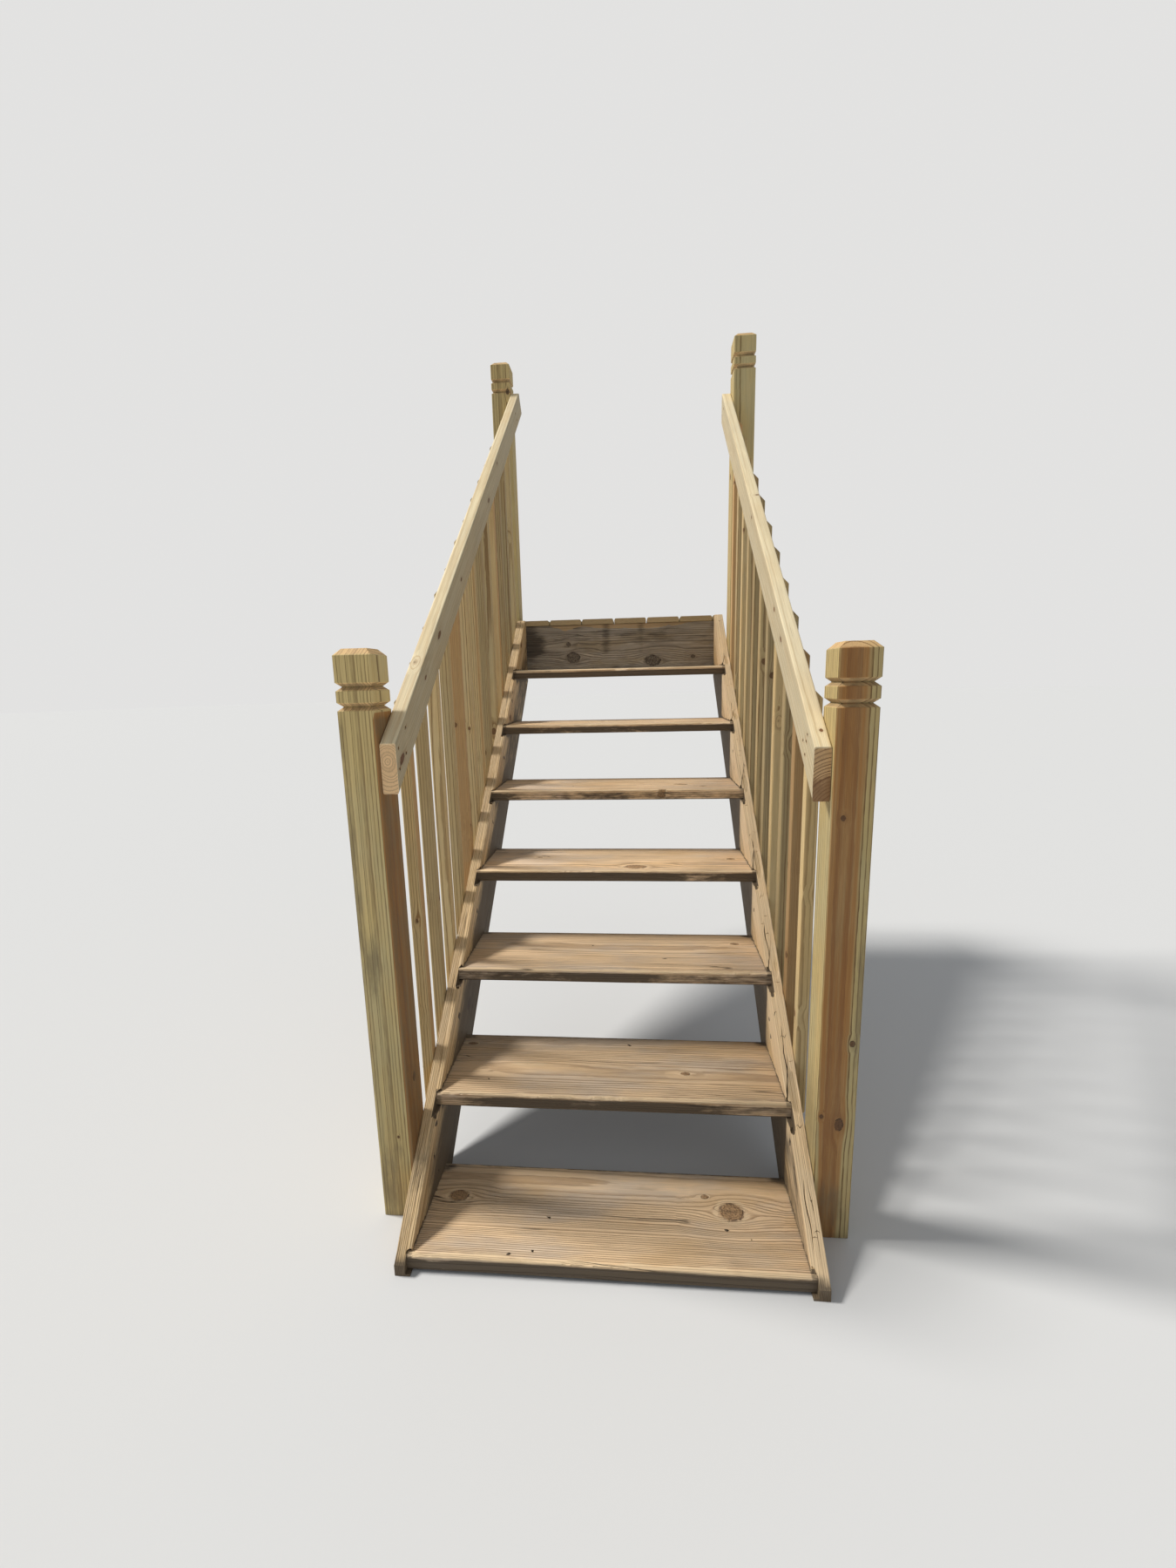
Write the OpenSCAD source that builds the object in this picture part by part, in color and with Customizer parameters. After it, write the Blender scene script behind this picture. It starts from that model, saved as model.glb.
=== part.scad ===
// Wooden deck stairs: a straight flight of housed treads between two sloping
// stringers, hung on the rim board of a raised deck, with a handrail and
// balusters on each side. Millimetres, +Z up, +Y up the flight, +X to the right.

/* [Flight] */
// Clear width between the stringers
clear_width = 914; // [720:1:1150]
// Number of treads below the deck
tread_count = 7; // [3:1:9]
// Height from one tread to the next
rise = 228; // [180:1:280]
// Level distance from one tread's front edge to the next
run = 256; // [210:1:320]
// Height from the last tread to the deck surface
top_rise = 242; // [185:1:290]
// Height of the first tread's top above the ground
first_rise = 44; // [42:1:200]

/* [Treads] */
// Depth of a tread from front to back
tread_depth = 270; // [225:1:330]
// Thickness of a tread
tread_thick = 38; // [28:1:46]
// Depth of the housing cut into each stringer for a tread's end
housing = 12; // [6:1:18]
// How far a tread's front edge stands out of the stringer's front edge
nose_out = 4; // [0:1:20]

/* [Stringers] */
// Depth of the stringer board, square to its slope
stringer_depth = 235; // [190:1:290]
// Thickness of the stringer board
stringer_thick = 38; // [32:1:50]
// Distance of the plumb-cut foot in front of the first tread's front edge
foot_out = 12; // [0:1:30]

/* [Deck edge] */
// Depth of the rim board
rim_depth = 235; // [180:1:290]
// Thickness of the rim board
rim_thick = 38; // [32:1:50]
// Gap between the last tread's back edge and the rim board
rim_gap = 34; // [5:1:60]
// Thickness of the deck boards
deck_thick = 25; // [19:1:38]
// Width of a deck board
deck_board = 154; // [90:1:200]
// Gap between two deck boards
deck_gap = 4; // [3:1:10]
// Length of the deck boards' ends from the rim board's front face
landing_depth = 134; // [80:1:300]
// How far the deck boards stand out over the rim board
deck_nose = 6; // [0:1:20]
// Radius of the deck boards' long edges
deck_round = 6; // [2:0.5:10]

/* [Posts] */
// Side of a square post
post_size = 89; // [70:1:110]
// Distance of the lower posts' front faces behind the first tread's front edge
lower_post_set = 142; // [100:1:200]
// Height of the lower left post above the ground
left_post_height = 1440; // [1300:1:1700]
// Height of the lower right post above the ground
right_post_height = 1426; // [1300:1:1700]
// Length of an upper post
upper_post_length = 1441; // [1200:1:1700]
// Height of the upper left post's top above the deck surface
left_post_top = 1182; // [1000:1:1400]
// Height of the upper right post's top above the deck surface
right_post_top = 1091; // [1000:1:1300]
// Distance of the upper right post's front face before the rim board
right_post_ahead = 244; // [120:1:300]
// Height of the sloping edge round a post's top
cap_chamfer = 15; // [8:1:25]
// Height of the block between the cap and the first groove
cap_block = 59; // [40:1:80]
// Width of a groove
groove_wide = 19; // [12:1:24]
// Depth of a groove
groove_deep = 11; // [6:1:16]
// Height of the ring between the two grooves
cap_ring = 25; // [15:1:40]

/* [Handrails] */
// Depth of a handrail, square to its slope
rail_depth = 89; // [60:1:110]
// Thickness of a handrail
rail_thick = 38; // [32:1:50]
// Left rail's top above the tread line at its lower end
left_rail_low = 1056; // [950:1:1150]
// Left rail's top above the tread line at its upper end
left_rail_high = 968; // [900:1:1100]
// Right rail's top above the tread line at its lower end
right_rail_low = 1024; // [950:1:1150]
// Right rail's top above the tread line at its upper end
right_rail_high = 1018; // [900:1:1100]
// Distance of the left rail's lower end behind the lower post's front face
left_rail_set = 4; // [0:1:30]
// Distance of the right rail's lower end behind the lower post's front face
right_rail_set = 14; // [0:1:30]
// Distance of the left rail's upper end behind the upper post's front face
left_rail_past = 20; // [10:1:50]
// Distance of the right rail's upper end behind the upper post's front face
right_rail_past = 72; // [30:1:85]

/* [Balusters] */
// Side of a square baluster
baluster_size = 32; // [26:1:42]
// Clear gap between two balusters
baluster_gap = 89; // [60:1:100]
// Gap between the lower left post and its first baluster
left_first_gap = 89; // [40:1:100]
// Gap between the lower right post and its first baluster
right_first_gap = 104; // [40:1:110]
// Length of a baluster
baluster_length = 1220; // [1100:1:1300]

/* [Hidden] */
LEFT = -1;
RIGHT = 1;

slope = rise / run;
angle = atan(slope);
half_width = clear_width / 2;
side_out = half_width + stringer_thick;
ground_z = -first_rise;
last_tread_z = (tread_count - 1) * rise;
deck_z = last_tread_z + top_rise;
rim_top_z = deck_z - deck_thick;
rim_y = (tread_count - 1) * run + tread_depth + rim_gap;
rim_back_y = rim_y + rim_thick;

// The rim board's back face is bolted to the deck's frame: the origin is its middle.
origin = [0, rim_back_y, rim_top_z - rim_depth / 2];

ease = 3;
ease_steps = 3;
baluster_ease = 4;
eps = 1;

lower_post_back = lower_post_set + post_size;
function upper_post_y(side) = side == LEFT ? rim_back_y : rim_y - right_post_ahead;
function upper_post_z(side) = deck_z + (side == LEFT ? left_post_top : right_post_top);
function lower_post_z(side) = ground_z + (side == LEFT ? left_post_height : right_post_height);

function rail_start_y(side) = lower_post_set + (side == LEFT ? left_rail_set : right_rail_set);
function rail_end_y(side) = upper_post_y(side) + (side == LEFT ? left_rail_past : right_rail_past);
function rail_start_z(side) = rail_start_y(side) * slope + (side == LEFT ? left_rail_low : right_rail_low);
function rail_end_z(side) = rail_end_y(side) * slope + (side == LEFT ? left_rail_high : right_rail_high);
function rail_slope(side) = (rail_end_z(side) - rail_start_z(side)) / (rail_end_y(side) - rail_start_y(side));
function rail_top(side, y) = rail_start_z(side) + (y - rail_start_y(side)) * rail_slope(side);

baluster_pitch = baluster_size + baluster_gap;
function first_gap(side) = side == LEFT ? left_first_gap : right_first_gap;
function baluster_end_y(side) = min(upper_post_y(side), rim_y);
function baluster_room(side) = baluster_end_y(side) - lower_post_back - first_gap(side) + baluster_gap;
function baluster_count(side) = floor(baluster_room(side) / baluster_pitch);
function baluster_y(side, i) = lower_post_back + first_gap(side) + baluster_size / 2 + (i - 1) * baluster_pitch;

// Outline of a board's section, w by h, with its corners eased to a radius r.
function eased_outline(w, h, r) = [
    for (corner = [0:3], step = [0:ease_steps])
        let (
            turn = corner * 90 + step * 90 / ease_steps,
            cx = (corner == 0 || corner == 3 ? 1 : -1) * (w / 2 - r),
            cy = (corner < 2 ? 1 : -1) * (h / 2 - r)
        )
        [cx + r * cos(turn), cy + r * sin(turn)]
];

// A board of length l along X, depth w along Y and thickness h along Z, centred.
module board(l, w, h, r = ease) {
    rotate([90, 0, 90])
        linear_extrude(l, center = true)
            polygon(eased_outline(w, h, r));
}

// A shape drawn in the Y-Z plane, standing from x0 to x1.
module side_shape(x0, x1) {
    translate([x0, 0, 0])
        rotate([90, 0, 90])
            linear_extrude(x1 - x0)
                children();
}

// A board on edge from x0 to x1, its top edge running down from the origin for a length l.
module sloping_board(x0, x1, depth, tilt, l) {
    translate([(x0 + x1) / 2, 0, 0])
        rotate([tilt, 0, 0])
            translate([0, 0, -depth / 2])
                rotate([90, 0, 0])
                    linear_extrude(l)
                        polygon(eased_outline(x1 - x0, depth, ease));
}

// A side of the stair: the right one as drawn, the left one mirrored.
module on_side(side) {
    mirror([side == LEFT ? 1 : 0, 0, 0])
        children();
}

// The whole part is placed with the rim board's back face on the origin.
module placed() {
    translate(-origin)
        children();
}

// A sloping board with a plumb cut and a level cut at each end, and a housing for each tread.
module stringer(side) {
    end_y = rim_y + stringer_depth;
    blank_length = (end_y + 2 * stringer_depth) / cos(angle);
    color("tan")
        placed() on_side(side)
            difference() {
                intersection() {
                    translate([0, end_y, (end_y - nose_out) * slope])
                        sloping_board(half_width, side_out, stringer_depth, angle, blank_length);
                    side_shape(half_width, side_out)
                        translate([-foot_out, ground_z])
                            square([rim_y + foot_out, deck_z - ground_z]);
                }
                for (i = [1:tread_count])
                    tread_housing(i);
            }
}

// The slot that a tread's end slides into from the stringer's front edge.
module tread_housing(i) {
    reach = tread_thick / slope + nose_out + foot_out + eps;
    translate([half_width - eps, (i - 1) * run - reach, (i - 1) * rise - tread_thick])
        cube([housing + eps, reach + tread_depth, tread_thick]);
}

module tread(i) {
    color("rosybrown")
        placed()
            translate([0, (i - 1) * run + tread_depth / 2, (i - 1) * rise - tread_thick / 2])
                board(clear_width + 2 * housing, tread_depth, tread_thick);
}

module rim_board() {
    color("dimgray")
        placed()
            translate([0, rim_y + rim_thick / 2, rim_top_z - rim_depth / 2])
                board(2 * side_out, rim_thick, rim_depth);
}

// Short ends of the deck boards, side by side on the rim board.
module deck_board_ends() {
    pitch = deck_board + deck_gap;
    count = ceil(2 * side_out / pitch);
    color("khaki")
        placed()
            difference() {
                for (i = [0:count - 1])
                    deck_board_end(-side_out + i * pitch, min(deck_board, 2 * side_out - i * pitch));
                for (side = [LEFT, RIGHT])
                    on_side(side)
                        translate([half_width, rim_y - deck_nose - eps, rim_top_z - eps])
                            cube([stringer_thick + eps, deck_nose + eps, deck_thick + 2 * eps]);
            }
}

module deck_board_end(x0, wide) {
    length = landing_depth + deck_nose;
    translate([x0 + wide / 2, rim_y + landing_depth - length / 2, rim_top_z + deck_thick / 2])
        rotate([0, 0, 90])
            board(length, wide, deck_thick, deck_round);
}

// Outline of a post seen from one side, with its cap and two grooves.
function post_outline(l, h) = [
    [-h, 0],
    [-h, l - cap_chamfer - cap_block - 2 * groove_wide - cap_ring],
    [-h + groove_deep, l - cap_chamfer - cap_block - 1.5 * groove_wide - cap_ring],
    [-h, l - cap_chamfer - cap_block - groove_wide - cap_ring],
    [-h, l - cap_chamfer - cap_block - groove_wide],
    [-h + groove_deep, l - cap_chamfer - cap_block - groove_wide / 2],
    [-h, l - cap_chamfer - cap_block],
    [-h, l - cap_chamfer],
    [-h + cap_chamfer, l],
    [h - cap_chamfer, l],
    [h, l - cap_chamfer],
    [h, l - cap_chamfer - cap_block],
    [h - groove_deep, l - cap_chamfer - cap_block - groove_wide / 2],
    [h, l - cap_chamfer - cap_block - groove_wide],
    [h, l - cap_chamfer - cap_block - groove_wide - cap_ring],
    [h - groove_deep, l - cap_chamfer - cap_block - 1.5 * groove_wide - cap_ring],
    [h, l - cap_chamfer - cap_block - 2 * groove_wide - cap_ring],
    [h, 0]
];

// A post of length l standing on z = 0, its inner face at x = 0 and its front face at y = 0.
module post(l) {
    h = post_size / 2;
    translate([h, h, 0])
        intersection() {
            linear_extrude(l)
                polygon(eased_outline(post_size, post_size, ease));
            side_shape(-h, h)
                polygon(post_outline(l, h));
            rotate([0, 0, 90])
                side_shape(-h, h)
                    polygon(post_outline(l, h));
        }
}

module lower_post(side) {
    color("goldenrod")
        placed() on_side(side)
            translate([side_out, lower_post_set, ground_z])
                post(lower_post_z(side) - ground_z);
}

module upper_post(side) {
    color("goldenrod")
        placed() on_side(side)
            translate([side_out, upper_post_y(side), upper_post_z(side) - upper_post_length])
                post(upper_post_length);
}

// A rail on edge in the stringer's plane: plumb cut below, the left one square cut above.
module handrail(side) {
    rail_angle = atan(rail_slope(side));
    start_y = rail_start_y(side);
    end_y = rail_end_y(side) + (side == LEFT ? 0 : rail_depth);
    cut_y = rail_end_y(side) + (side == LEFT ? rail_depth : 0);
    blank_length = (end_y - start_y + rail_depth) / cos(rail_angle);
    color("palegoldenrod")
        placed() on_side(side)
            intersection() {
                translate([0, end_y, rail_top(side, end_y)])
                    sloping_board(side_out - rail_thick, side_out, rail_depth, rail_angle, blank_length);
                side_shape(side_out - rail_thick, side_out)
                    translate([start_y, ground_z])
                        square([cut_y - start_y, 2 * deck_z]);
            }
}

// A baluster on the outer faces of the rail and stringer, both ends mitred.
module baluster(side, i) {
    y = baluster_y(side, i);
    top = rail_top(side, y);
    color("wheat")
        placed() on_side(side)
            translate([side_out, y, top - baluster_length])
                intersection() {
                    translate([baluster_size / 2, 0, 0])
                        linear_extrude(baluster_length)
                            polygon(eased_outline(baluster_size, baluster_size, baluster_ease));
                    translate([0, baluster_size / 2, 0])
                        rotate([90, 0, 0])
                            linear_extrude(baluster_size)
                                polygon([
                                    [0, 0],
                                    [0, baluster_length],
                                    [baluster_size, baluster_length - baluster_size],
                                    [baluster_size, baluster_size]
                                ]);
                }
}

stringer(LEFT);  // stringer_left
stringer(RIGHT);  // stringer_right
for (i = [1:tread_count])
    tread(i);
rim_board();
deck_board_ends();
lower_post(LEFT);  // lower_post_left
lower_post(RIGHT);  // lower_post_right
upper_post(LEFT);  // upper_post_left
upper_post(RIGHT);  // upper_post_right
handrail(LEFT);  // handrail_left
handrail(RIGHT);  // handrail_right
for (i = [1:baluster_count(LEFT)])
    baluster(LEFT, i);
for (i = [1:baluster_count(RIGHT)])
    baluster(RIGHT, i);
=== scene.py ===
import math

import bpy
import numpy as np
from mathutils import Matrix, Vector


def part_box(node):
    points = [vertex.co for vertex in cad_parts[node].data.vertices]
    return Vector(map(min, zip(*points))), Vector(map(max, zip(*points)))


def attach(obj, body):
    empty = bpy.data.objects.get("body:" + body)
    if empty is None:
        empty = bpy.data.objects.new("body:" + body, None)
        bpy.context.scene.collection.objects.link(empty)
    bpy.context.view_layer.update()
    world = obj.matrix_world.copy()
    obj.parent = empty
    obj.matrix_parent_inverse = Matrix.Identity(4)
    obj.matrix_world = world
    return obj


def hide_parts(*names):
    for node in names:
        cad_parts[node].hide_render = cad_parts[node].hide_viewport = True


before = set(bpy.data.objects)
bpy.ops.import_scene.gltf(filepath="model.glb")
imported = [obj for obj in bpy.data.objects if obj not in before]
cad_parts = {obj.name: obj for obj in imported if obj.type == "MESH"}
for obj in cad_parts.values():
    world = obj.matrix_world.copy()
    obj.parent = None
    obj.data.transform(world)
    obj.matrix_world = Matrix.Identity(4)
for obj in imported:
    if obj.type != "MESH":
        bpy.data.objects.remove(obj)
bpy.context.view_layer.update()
scene = bpy.context.scene

# Sizes of the stair, in metres: from the part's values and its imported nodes
stairSize = {"riseRun": 228 / 256, "rise": 0.228, "treads": 7, "stringerDepth": 0.235, "noseOut": 0.004,
             "housing": 0.012, "railDepth": 0.089}
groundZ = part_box("stringer_left")[0].z
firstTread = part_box("tread_1")
halfWidth, sideOut = (corner.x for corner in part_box("stringer_right"))
rimLow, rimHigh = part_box("rim_board")
deckLow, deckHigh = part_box("deck_board_ends")
slopeAngle = math.atan(stairSize["riseRun"])
treadPitch = stairSize["rise"] / math.sin(slopeAngle)
treadBoxes = {i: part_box(f"tread_{i}") for i in range(1, stairSize["treads"] + 1)}
sides = {-1: "left", 1: "right"}


# Noise and mesh helpers

def latticeValue(ix, iy, iz, seed):
    n = (ix * 374761393 + iy * 668265263 + iz * 974711 + seed * 1013904223) & 0xFFFFFFFF
    n = ((n ^ (n >> 13)) * 1274126177) & 0xFFFFFFFF
    n = ((n ^ (n >> 16)) * 1103515245) & 0xFFFFFFFF
    return (n ^ (n >> 15)).astype(float) / 2 ** 31 - 1


def noise(points, scale, seed=0):
    # Smooth value noise from -1 to 1 at (..., 3) points
    q = np.asarray(points, float) * np.asarray(scale, float)
    cell = np.floor(q).astype(np.int64)
    f = q - cell
    f = f * f * (3 - 2 * f)
    total = 0
    for dx in (0, 1):
        for dy in (0, 1):
            for dz in (0, 1):
                weight = (f[..., 0] if dx else 1 - f[..., 0]) * (f[..., 1] if dy else 1 - f[..., 1])
                weight = weight * (f[..., 2] if dz else 1 - f[..., 2])
                corner = [cell[..., k] + step for k, step in enumerate((dx, dy, dz))]
                total = total + weight * latticeValue(*corner, seed)
    return total


def layeredNoise(points, scale, layers=3, seed=0):
    total, size = 0, 0
    for k in range(layers):
        total = total + noise(points, np.asarray(scale, float) * 2 ** k, seed + 17 * k) / 2 ** k
        size += 1 / 2 ** k
    return total / size


def ramp(value, low, high):
    t = np.clip((value - low) / (high - low), 0, 1)
    return t * t * (3 - 2 * t)


def most(*layers):
    return np.maximum.reduce(layers)


def spread(length, step, fine=None, band=0.0):
    # Places from 0 to length, closer together within the band at each end
    if fine is None or 2 * band >= length:
        return np.linspace(0, length, max(2, int(math.ceil(length / (fine or step))) + 1))
    edge = np.arange(0, band, fine)
    middle = np.linspace(band, length - band, max(2, int(math.ceil((length - 2 * band) / step)) + 1))
    return np.concatenate([edge, middle, length - edge[::-1]])


def outline(width, thick, radius, step, fine=None, band=0.0, sideStep=None, cornerSteps=3):
    # Points and normals round a board's section, in its (width, thickness) plane, anticlockwise
    points, normals = [], []
    halfW, halfT = width / 2 - radius, thick / 2 - radius
    lines = [
        ((halfW + radius, -halfT), (0, 1), (1, 0), 2 * halfT, sideStep or step),
        ((halfW, halfT + radius), (-1, 0), (0, 1), 2 * halfW, step),
        ((-halfW - radius, halfT), (0, -1), (-1, 0), 2 * halfT, sideStep or step),
        ((-halfW, -halfT - radius), (1, 0), (0, -1), 2 * halfW, step),
    ]
    centres = [(halfW, halfT), (-halfW, halfT), (-halfW, -halfT), (halfW, -halfT)]
    for k, (start, way, normal, length, gap) in enumerate(lines):
        for s in spread(length, gap, fine, band):
            points.append((start[0] + way[0] * s, start[1] + way[1] * s))
            normals.append(normal)
        for c in range(1, cornerSteps):
            a = math.radians(90 * k + 90 * c / cornerSteps)
            points.append((centres[k][0] + radius * math.cos(a), centres[k][1] + radius * math.sin(a)))
            normals.append((math.cos(a), math.sin(a)))
    return np.array(points), np.array(normals)


def sectionGrid(stations, section, normal):
    # A section's points and normals repeated along the grain, as (stations, n, 3)
    points = np.zeros((len(stations), len(section), 3))
    normals = points.copy()
    points[..., 0] = np.reshape(stations, (len(stations), -1))
    points[..., 1:], normals[..., 1:] = section, normal
    return points, normals


def roundedArris(u, v, reachU, reachV):
    # Points at depths u and v below the two faces of an arris, brought onto a round of these reaches
    a, b = np.minimum(u / reachU, 1) - 1, np.minimum(v / reachV, 1) - 1
    inside = (a < 0) & (b < 0)
    size = np.maximum(np.hypot(a, b), 1e-6)
    return np.where(inside, reachU * (1 + a / size), u), np.where(inside, reachV * (1 + b / size), v)


def meshFrom(name, verts, faces):
    mesh = bpy.data.meshes.new(name)
    mesh.from_pydata([tuple(v) for v in verts], [], faces)
    mesh.update()
    obj = bpy.data.objects.new(name, mesh)
    scene.collection.objects.link(obj)
    return obj


def loft(rings, capSteps=(0.93, 0.6, 0.25)):
    # Closed surface through rings of (stations, n, 3), each end closed with shrinking rings
    m, n, _ = rings.shape
    verts = [rings.reshape(-1, 3)]
    faces = []
    j = np.arange(n)
    jn = (j + 1) % n
    for i in range(m - 1):
        a, b = i * n, (i + 1) * n
        faces += np.stack([a + j, a + jn, b + jn, b + j], 1).tolist()
    count = m * n
    for end in (0, m - 1):
        ring = rings[end]
        centre = (ring.min(0) + ring.max(0)) / 2
        previous = end * n + j
        for s in capSteps:
            verts.append(centre + (ring - centre) * s)
            here = count + j
            count += n
            quad = [previous, here, here[jn], previous[jn]]
            if end:
                quad = [quad[k] for k in (0, 3, 2, 1)]
            faces += np.stack(quad, 1).tolist()
            previous = here
        verts.append(centre[None])
        tip = np.full(n, count)
        count += 1
        tri = [previous, tip, previous[jn]] if end == 0 else [previous, previous[jn], tip]
        faces += np.stack(tri, 1).tolist()
    return np.concatenate(verts), faces


def vertexArray(obj):
    co = np.empty(len(obj.data.vertices) * 3, np.float32)
    obj.data.vertices.foreach_get("co", co)
    return co.reshape(-1, 3).astype(float)


def faceOut(obj):
    # Turns the faces outward if the mesh is inside out
    co = vertexArray(obj)
    volume = 0.0
    for p in obj.data.polygons:
        v = [co[k] for k in p.vertices]
        for k in range(1, len(v) - 1):
            volume += float(np.dot(v[0], np.cross(v[k], v[k + 1])))
    if volume < 0:
        obj.data.flip_normals()
    return obj


def closedShape(name, rings):
    return faceOut(meshFrom(name, *loft(rings, capSteps=(0.5,))))


def carve(obj, cutters, operation="DIFFERENCE"):
    for cutter in cutters:
        m = obj.modifiers.new("carve", "BOOLEAN")
        m.operation, m.object, m.solver = operation, cutter, "MANIFOLD"
    graph = bpy.context.evaluated_depsgraph_get()
    mesh = bpy.data.meshes.new_from_object(obj.evaluated_get(graph))
    obj.modifiers.clear()
    obj.data = mesh
    for cutter in cutters:
        bpy.data.objects.remove(cutter)


# Rough cutters for housings, chips and splits

def roughBox(name, low, high, step, rough, seed):
    # A closed box in world space with a fine grid on its faces, moved in and out by noise
    low, high = np.array(low, float), np.array(high, float)
    size = high - low
    grid = sectionGrid(spread(size[1], step), *outline(size[0], size[2], 0.0004, step, cornerSteps=2))
    points, normals = (values[..., [1, 0, 2]] for values in grid)
    points = points + np.array([(low[0] + high[0]) / 2, low[1], (low[2] + high[2]) / 2])
    points = points + normals * (layeredNoise(points, (60, 60, 60), 2, seed) * rough)[..., None]
    return meshFrom(name, *loft(points[:, ::-1]))


def roughBlob(name, centre, axes, size, seed, rough=0.25):
    # A lumpy ellipsoid with its own axes, for chips
    a = np.linspace(0.12, math.pi - 0.12, 9)[:, None]
    b = np.linspace(0, 2 * math.pi, 14, endpoint=False)
    unit = np.stack([np.cos(a) + 0 * b, np.sin(a) * np.cos(b), np.sin(a) * np.sin(b)], 2)
    unit = unit * (1 + rough * layeredNoise(unit, (1.7, 1.7, 1.7), 2, seed))[..., None]
    return closedShape(name, (unit * np.array(size)) @ np.array(axes, float) + np.array(centre))


def split(name, path, outward, width, depth, seed, wander=0.002, lift=0.0015, flare=False):
    # A wedge along surface points, for a split or a drying check: widest in the middle, or at its start
    path, outward = np.array(path, float), np.array(outward, float)
    gaps = np.r_[0, np.cumsum(np.linalg.norm(np.diff(path, axis=0), axis=1))]
    count = max(8, int(gaps[-1] / 0.006))
    s = np.linspace(0, gaps[-1], count)
    line = np.stack([np.interp(s, gaps, path[:, k]) for k in range(3)], 1)
    along = np.gradient(line, axis=0)
    along /= np.linalg.norm(along, axis=1)[:, None]
    aside = np.cross(along, outward)
    probe = np.stack([s, np.full(count, seed * 1.7), np.zeros(count)], 1)
    line = line + aside * (layeredNoise(probe, (22, 1, 1), 3, seed) * wander)[:, None]
    part = np.clip(s / gaps[-1], 0.02, 0.98)
    gape = (1 - part) ** 0.8 if flare else np.sin(np.pi * part) ** 0.7
    gape = gape * (0.75 + 0.25 * noise(probe, (40, 1, 1), seed + 3))
    half = (width / 2 * gape)[:, None]
    low = (depth * gape)[:, None]
    above, reach = line + outward * lift, aside * half * (1 + lift / depth)
    return closedShape(name, np.stack([above - reach, above + reach, line - outward * low], 1))


def roundRings(point, way, profile, angles, radii=1.0):
    # Rings of points round an axis, from (distance along it, radius, lobed or not)
    way = Vector(way).normalized()
    aside = way.orthogonal().normalized()
    up = way.cross(aside)
    rings = []
    for t, radius, lobed in profile:
        r = radius * (radii if lobed else 1.0) * np.ones(len(angles))
        rings.append([Vector(point) + way * t + (aside * math.cos(a) + up * math.sin(a)) * k
                      for a, k in zip(angles, r)])
    return np.array(rings)


def pinCutter(point, way, radius, depth):
    # A short round cutter for a nail hole, going in along way
    profile = [(-0.004, radius, 0), (depth * 0.7, radius, 0), (depth, radius * 0.5, 0)]
    angles = np.linspace(0, 2 * math.pi, 10, endpoint=False)
    return closedShape("pin", roundRings(point, way, profile, angles))


def prism(name, corners, x0, x1):
    # A closed block between two planes of constant x, from corners given as (y, z)
    n = len(corners)
    verts = [(x0, y, z) for y, z in corners] + [(x1, y, z) for y, z in corners]
    faces = [list(range(n))[::-1], list(range(n, 2 * n))]
    faces += [[k, (k + 1) % n, (k + 1) % n + n, k + n] for k in range(n)]
    return faceOut(meshFrom(name, verts, faces))


# Boards: local X runs along the grain, Y across the width, Z through the thickness

def boardFrame(origin, along, across, through):
    m = Matrix.Identity(4)
    for k, axis in enumerate((along, across, through, origin)):
        m.col[k][:3] = Vector(axis)
    return m


def middleOf(low, high, **known):
    # The middle of a box, with the coordinates that are given instead
    return [known.get(axis, (getattr(low, axis) + getattr(high, axis)) / 2) for axis in "xyz"]


def toLocal(place, points):
    inverse = np.array(place.inverted())
    return points @ inverse[:3, :3].T + inverse[:3, 3]


def toWorld(place, points):
    matrix = np.array(place)
    return points @ matrix[:3, :3].T + matrix[:3, 3]


def addAttribute(obj, name, values):
    kind = "FLOAT_VECTOR" if values.ndim == 2 else "FLOAT"
    field = obj.data.attributes.new(name, kind, "POINT")
    field.data.foreach_set("vector" if values.ndim == 2 else "value", values.astype(np.float32).ravel())


def finishPiece(obj, slot, cadNode):
    # Material, body and slot, and the CAD node that the piece stands for
    obj.data.materials.clear()
    obj.data.materials.append(woods[slot])
    obj.data.polygons.foreach_set("material_index", np.zeros(len(obj.data.polygons), np.int32))
    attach(obj, "root")
    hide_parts(cadNode)


def joined(parts, name):
    with bpy.context.temp_override(active_object=parts[0], selected_editable_objects=parts):
        bpy.ops.object.join()
    parts[0].name = parts[0].data.name = name
    return parts[0]


def shadeSmooth(obj, degrees):
    obj.data.shade_smooth()
    obj.data.set_sharp_from_angle(angle=math.radians(degrees))


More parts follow.
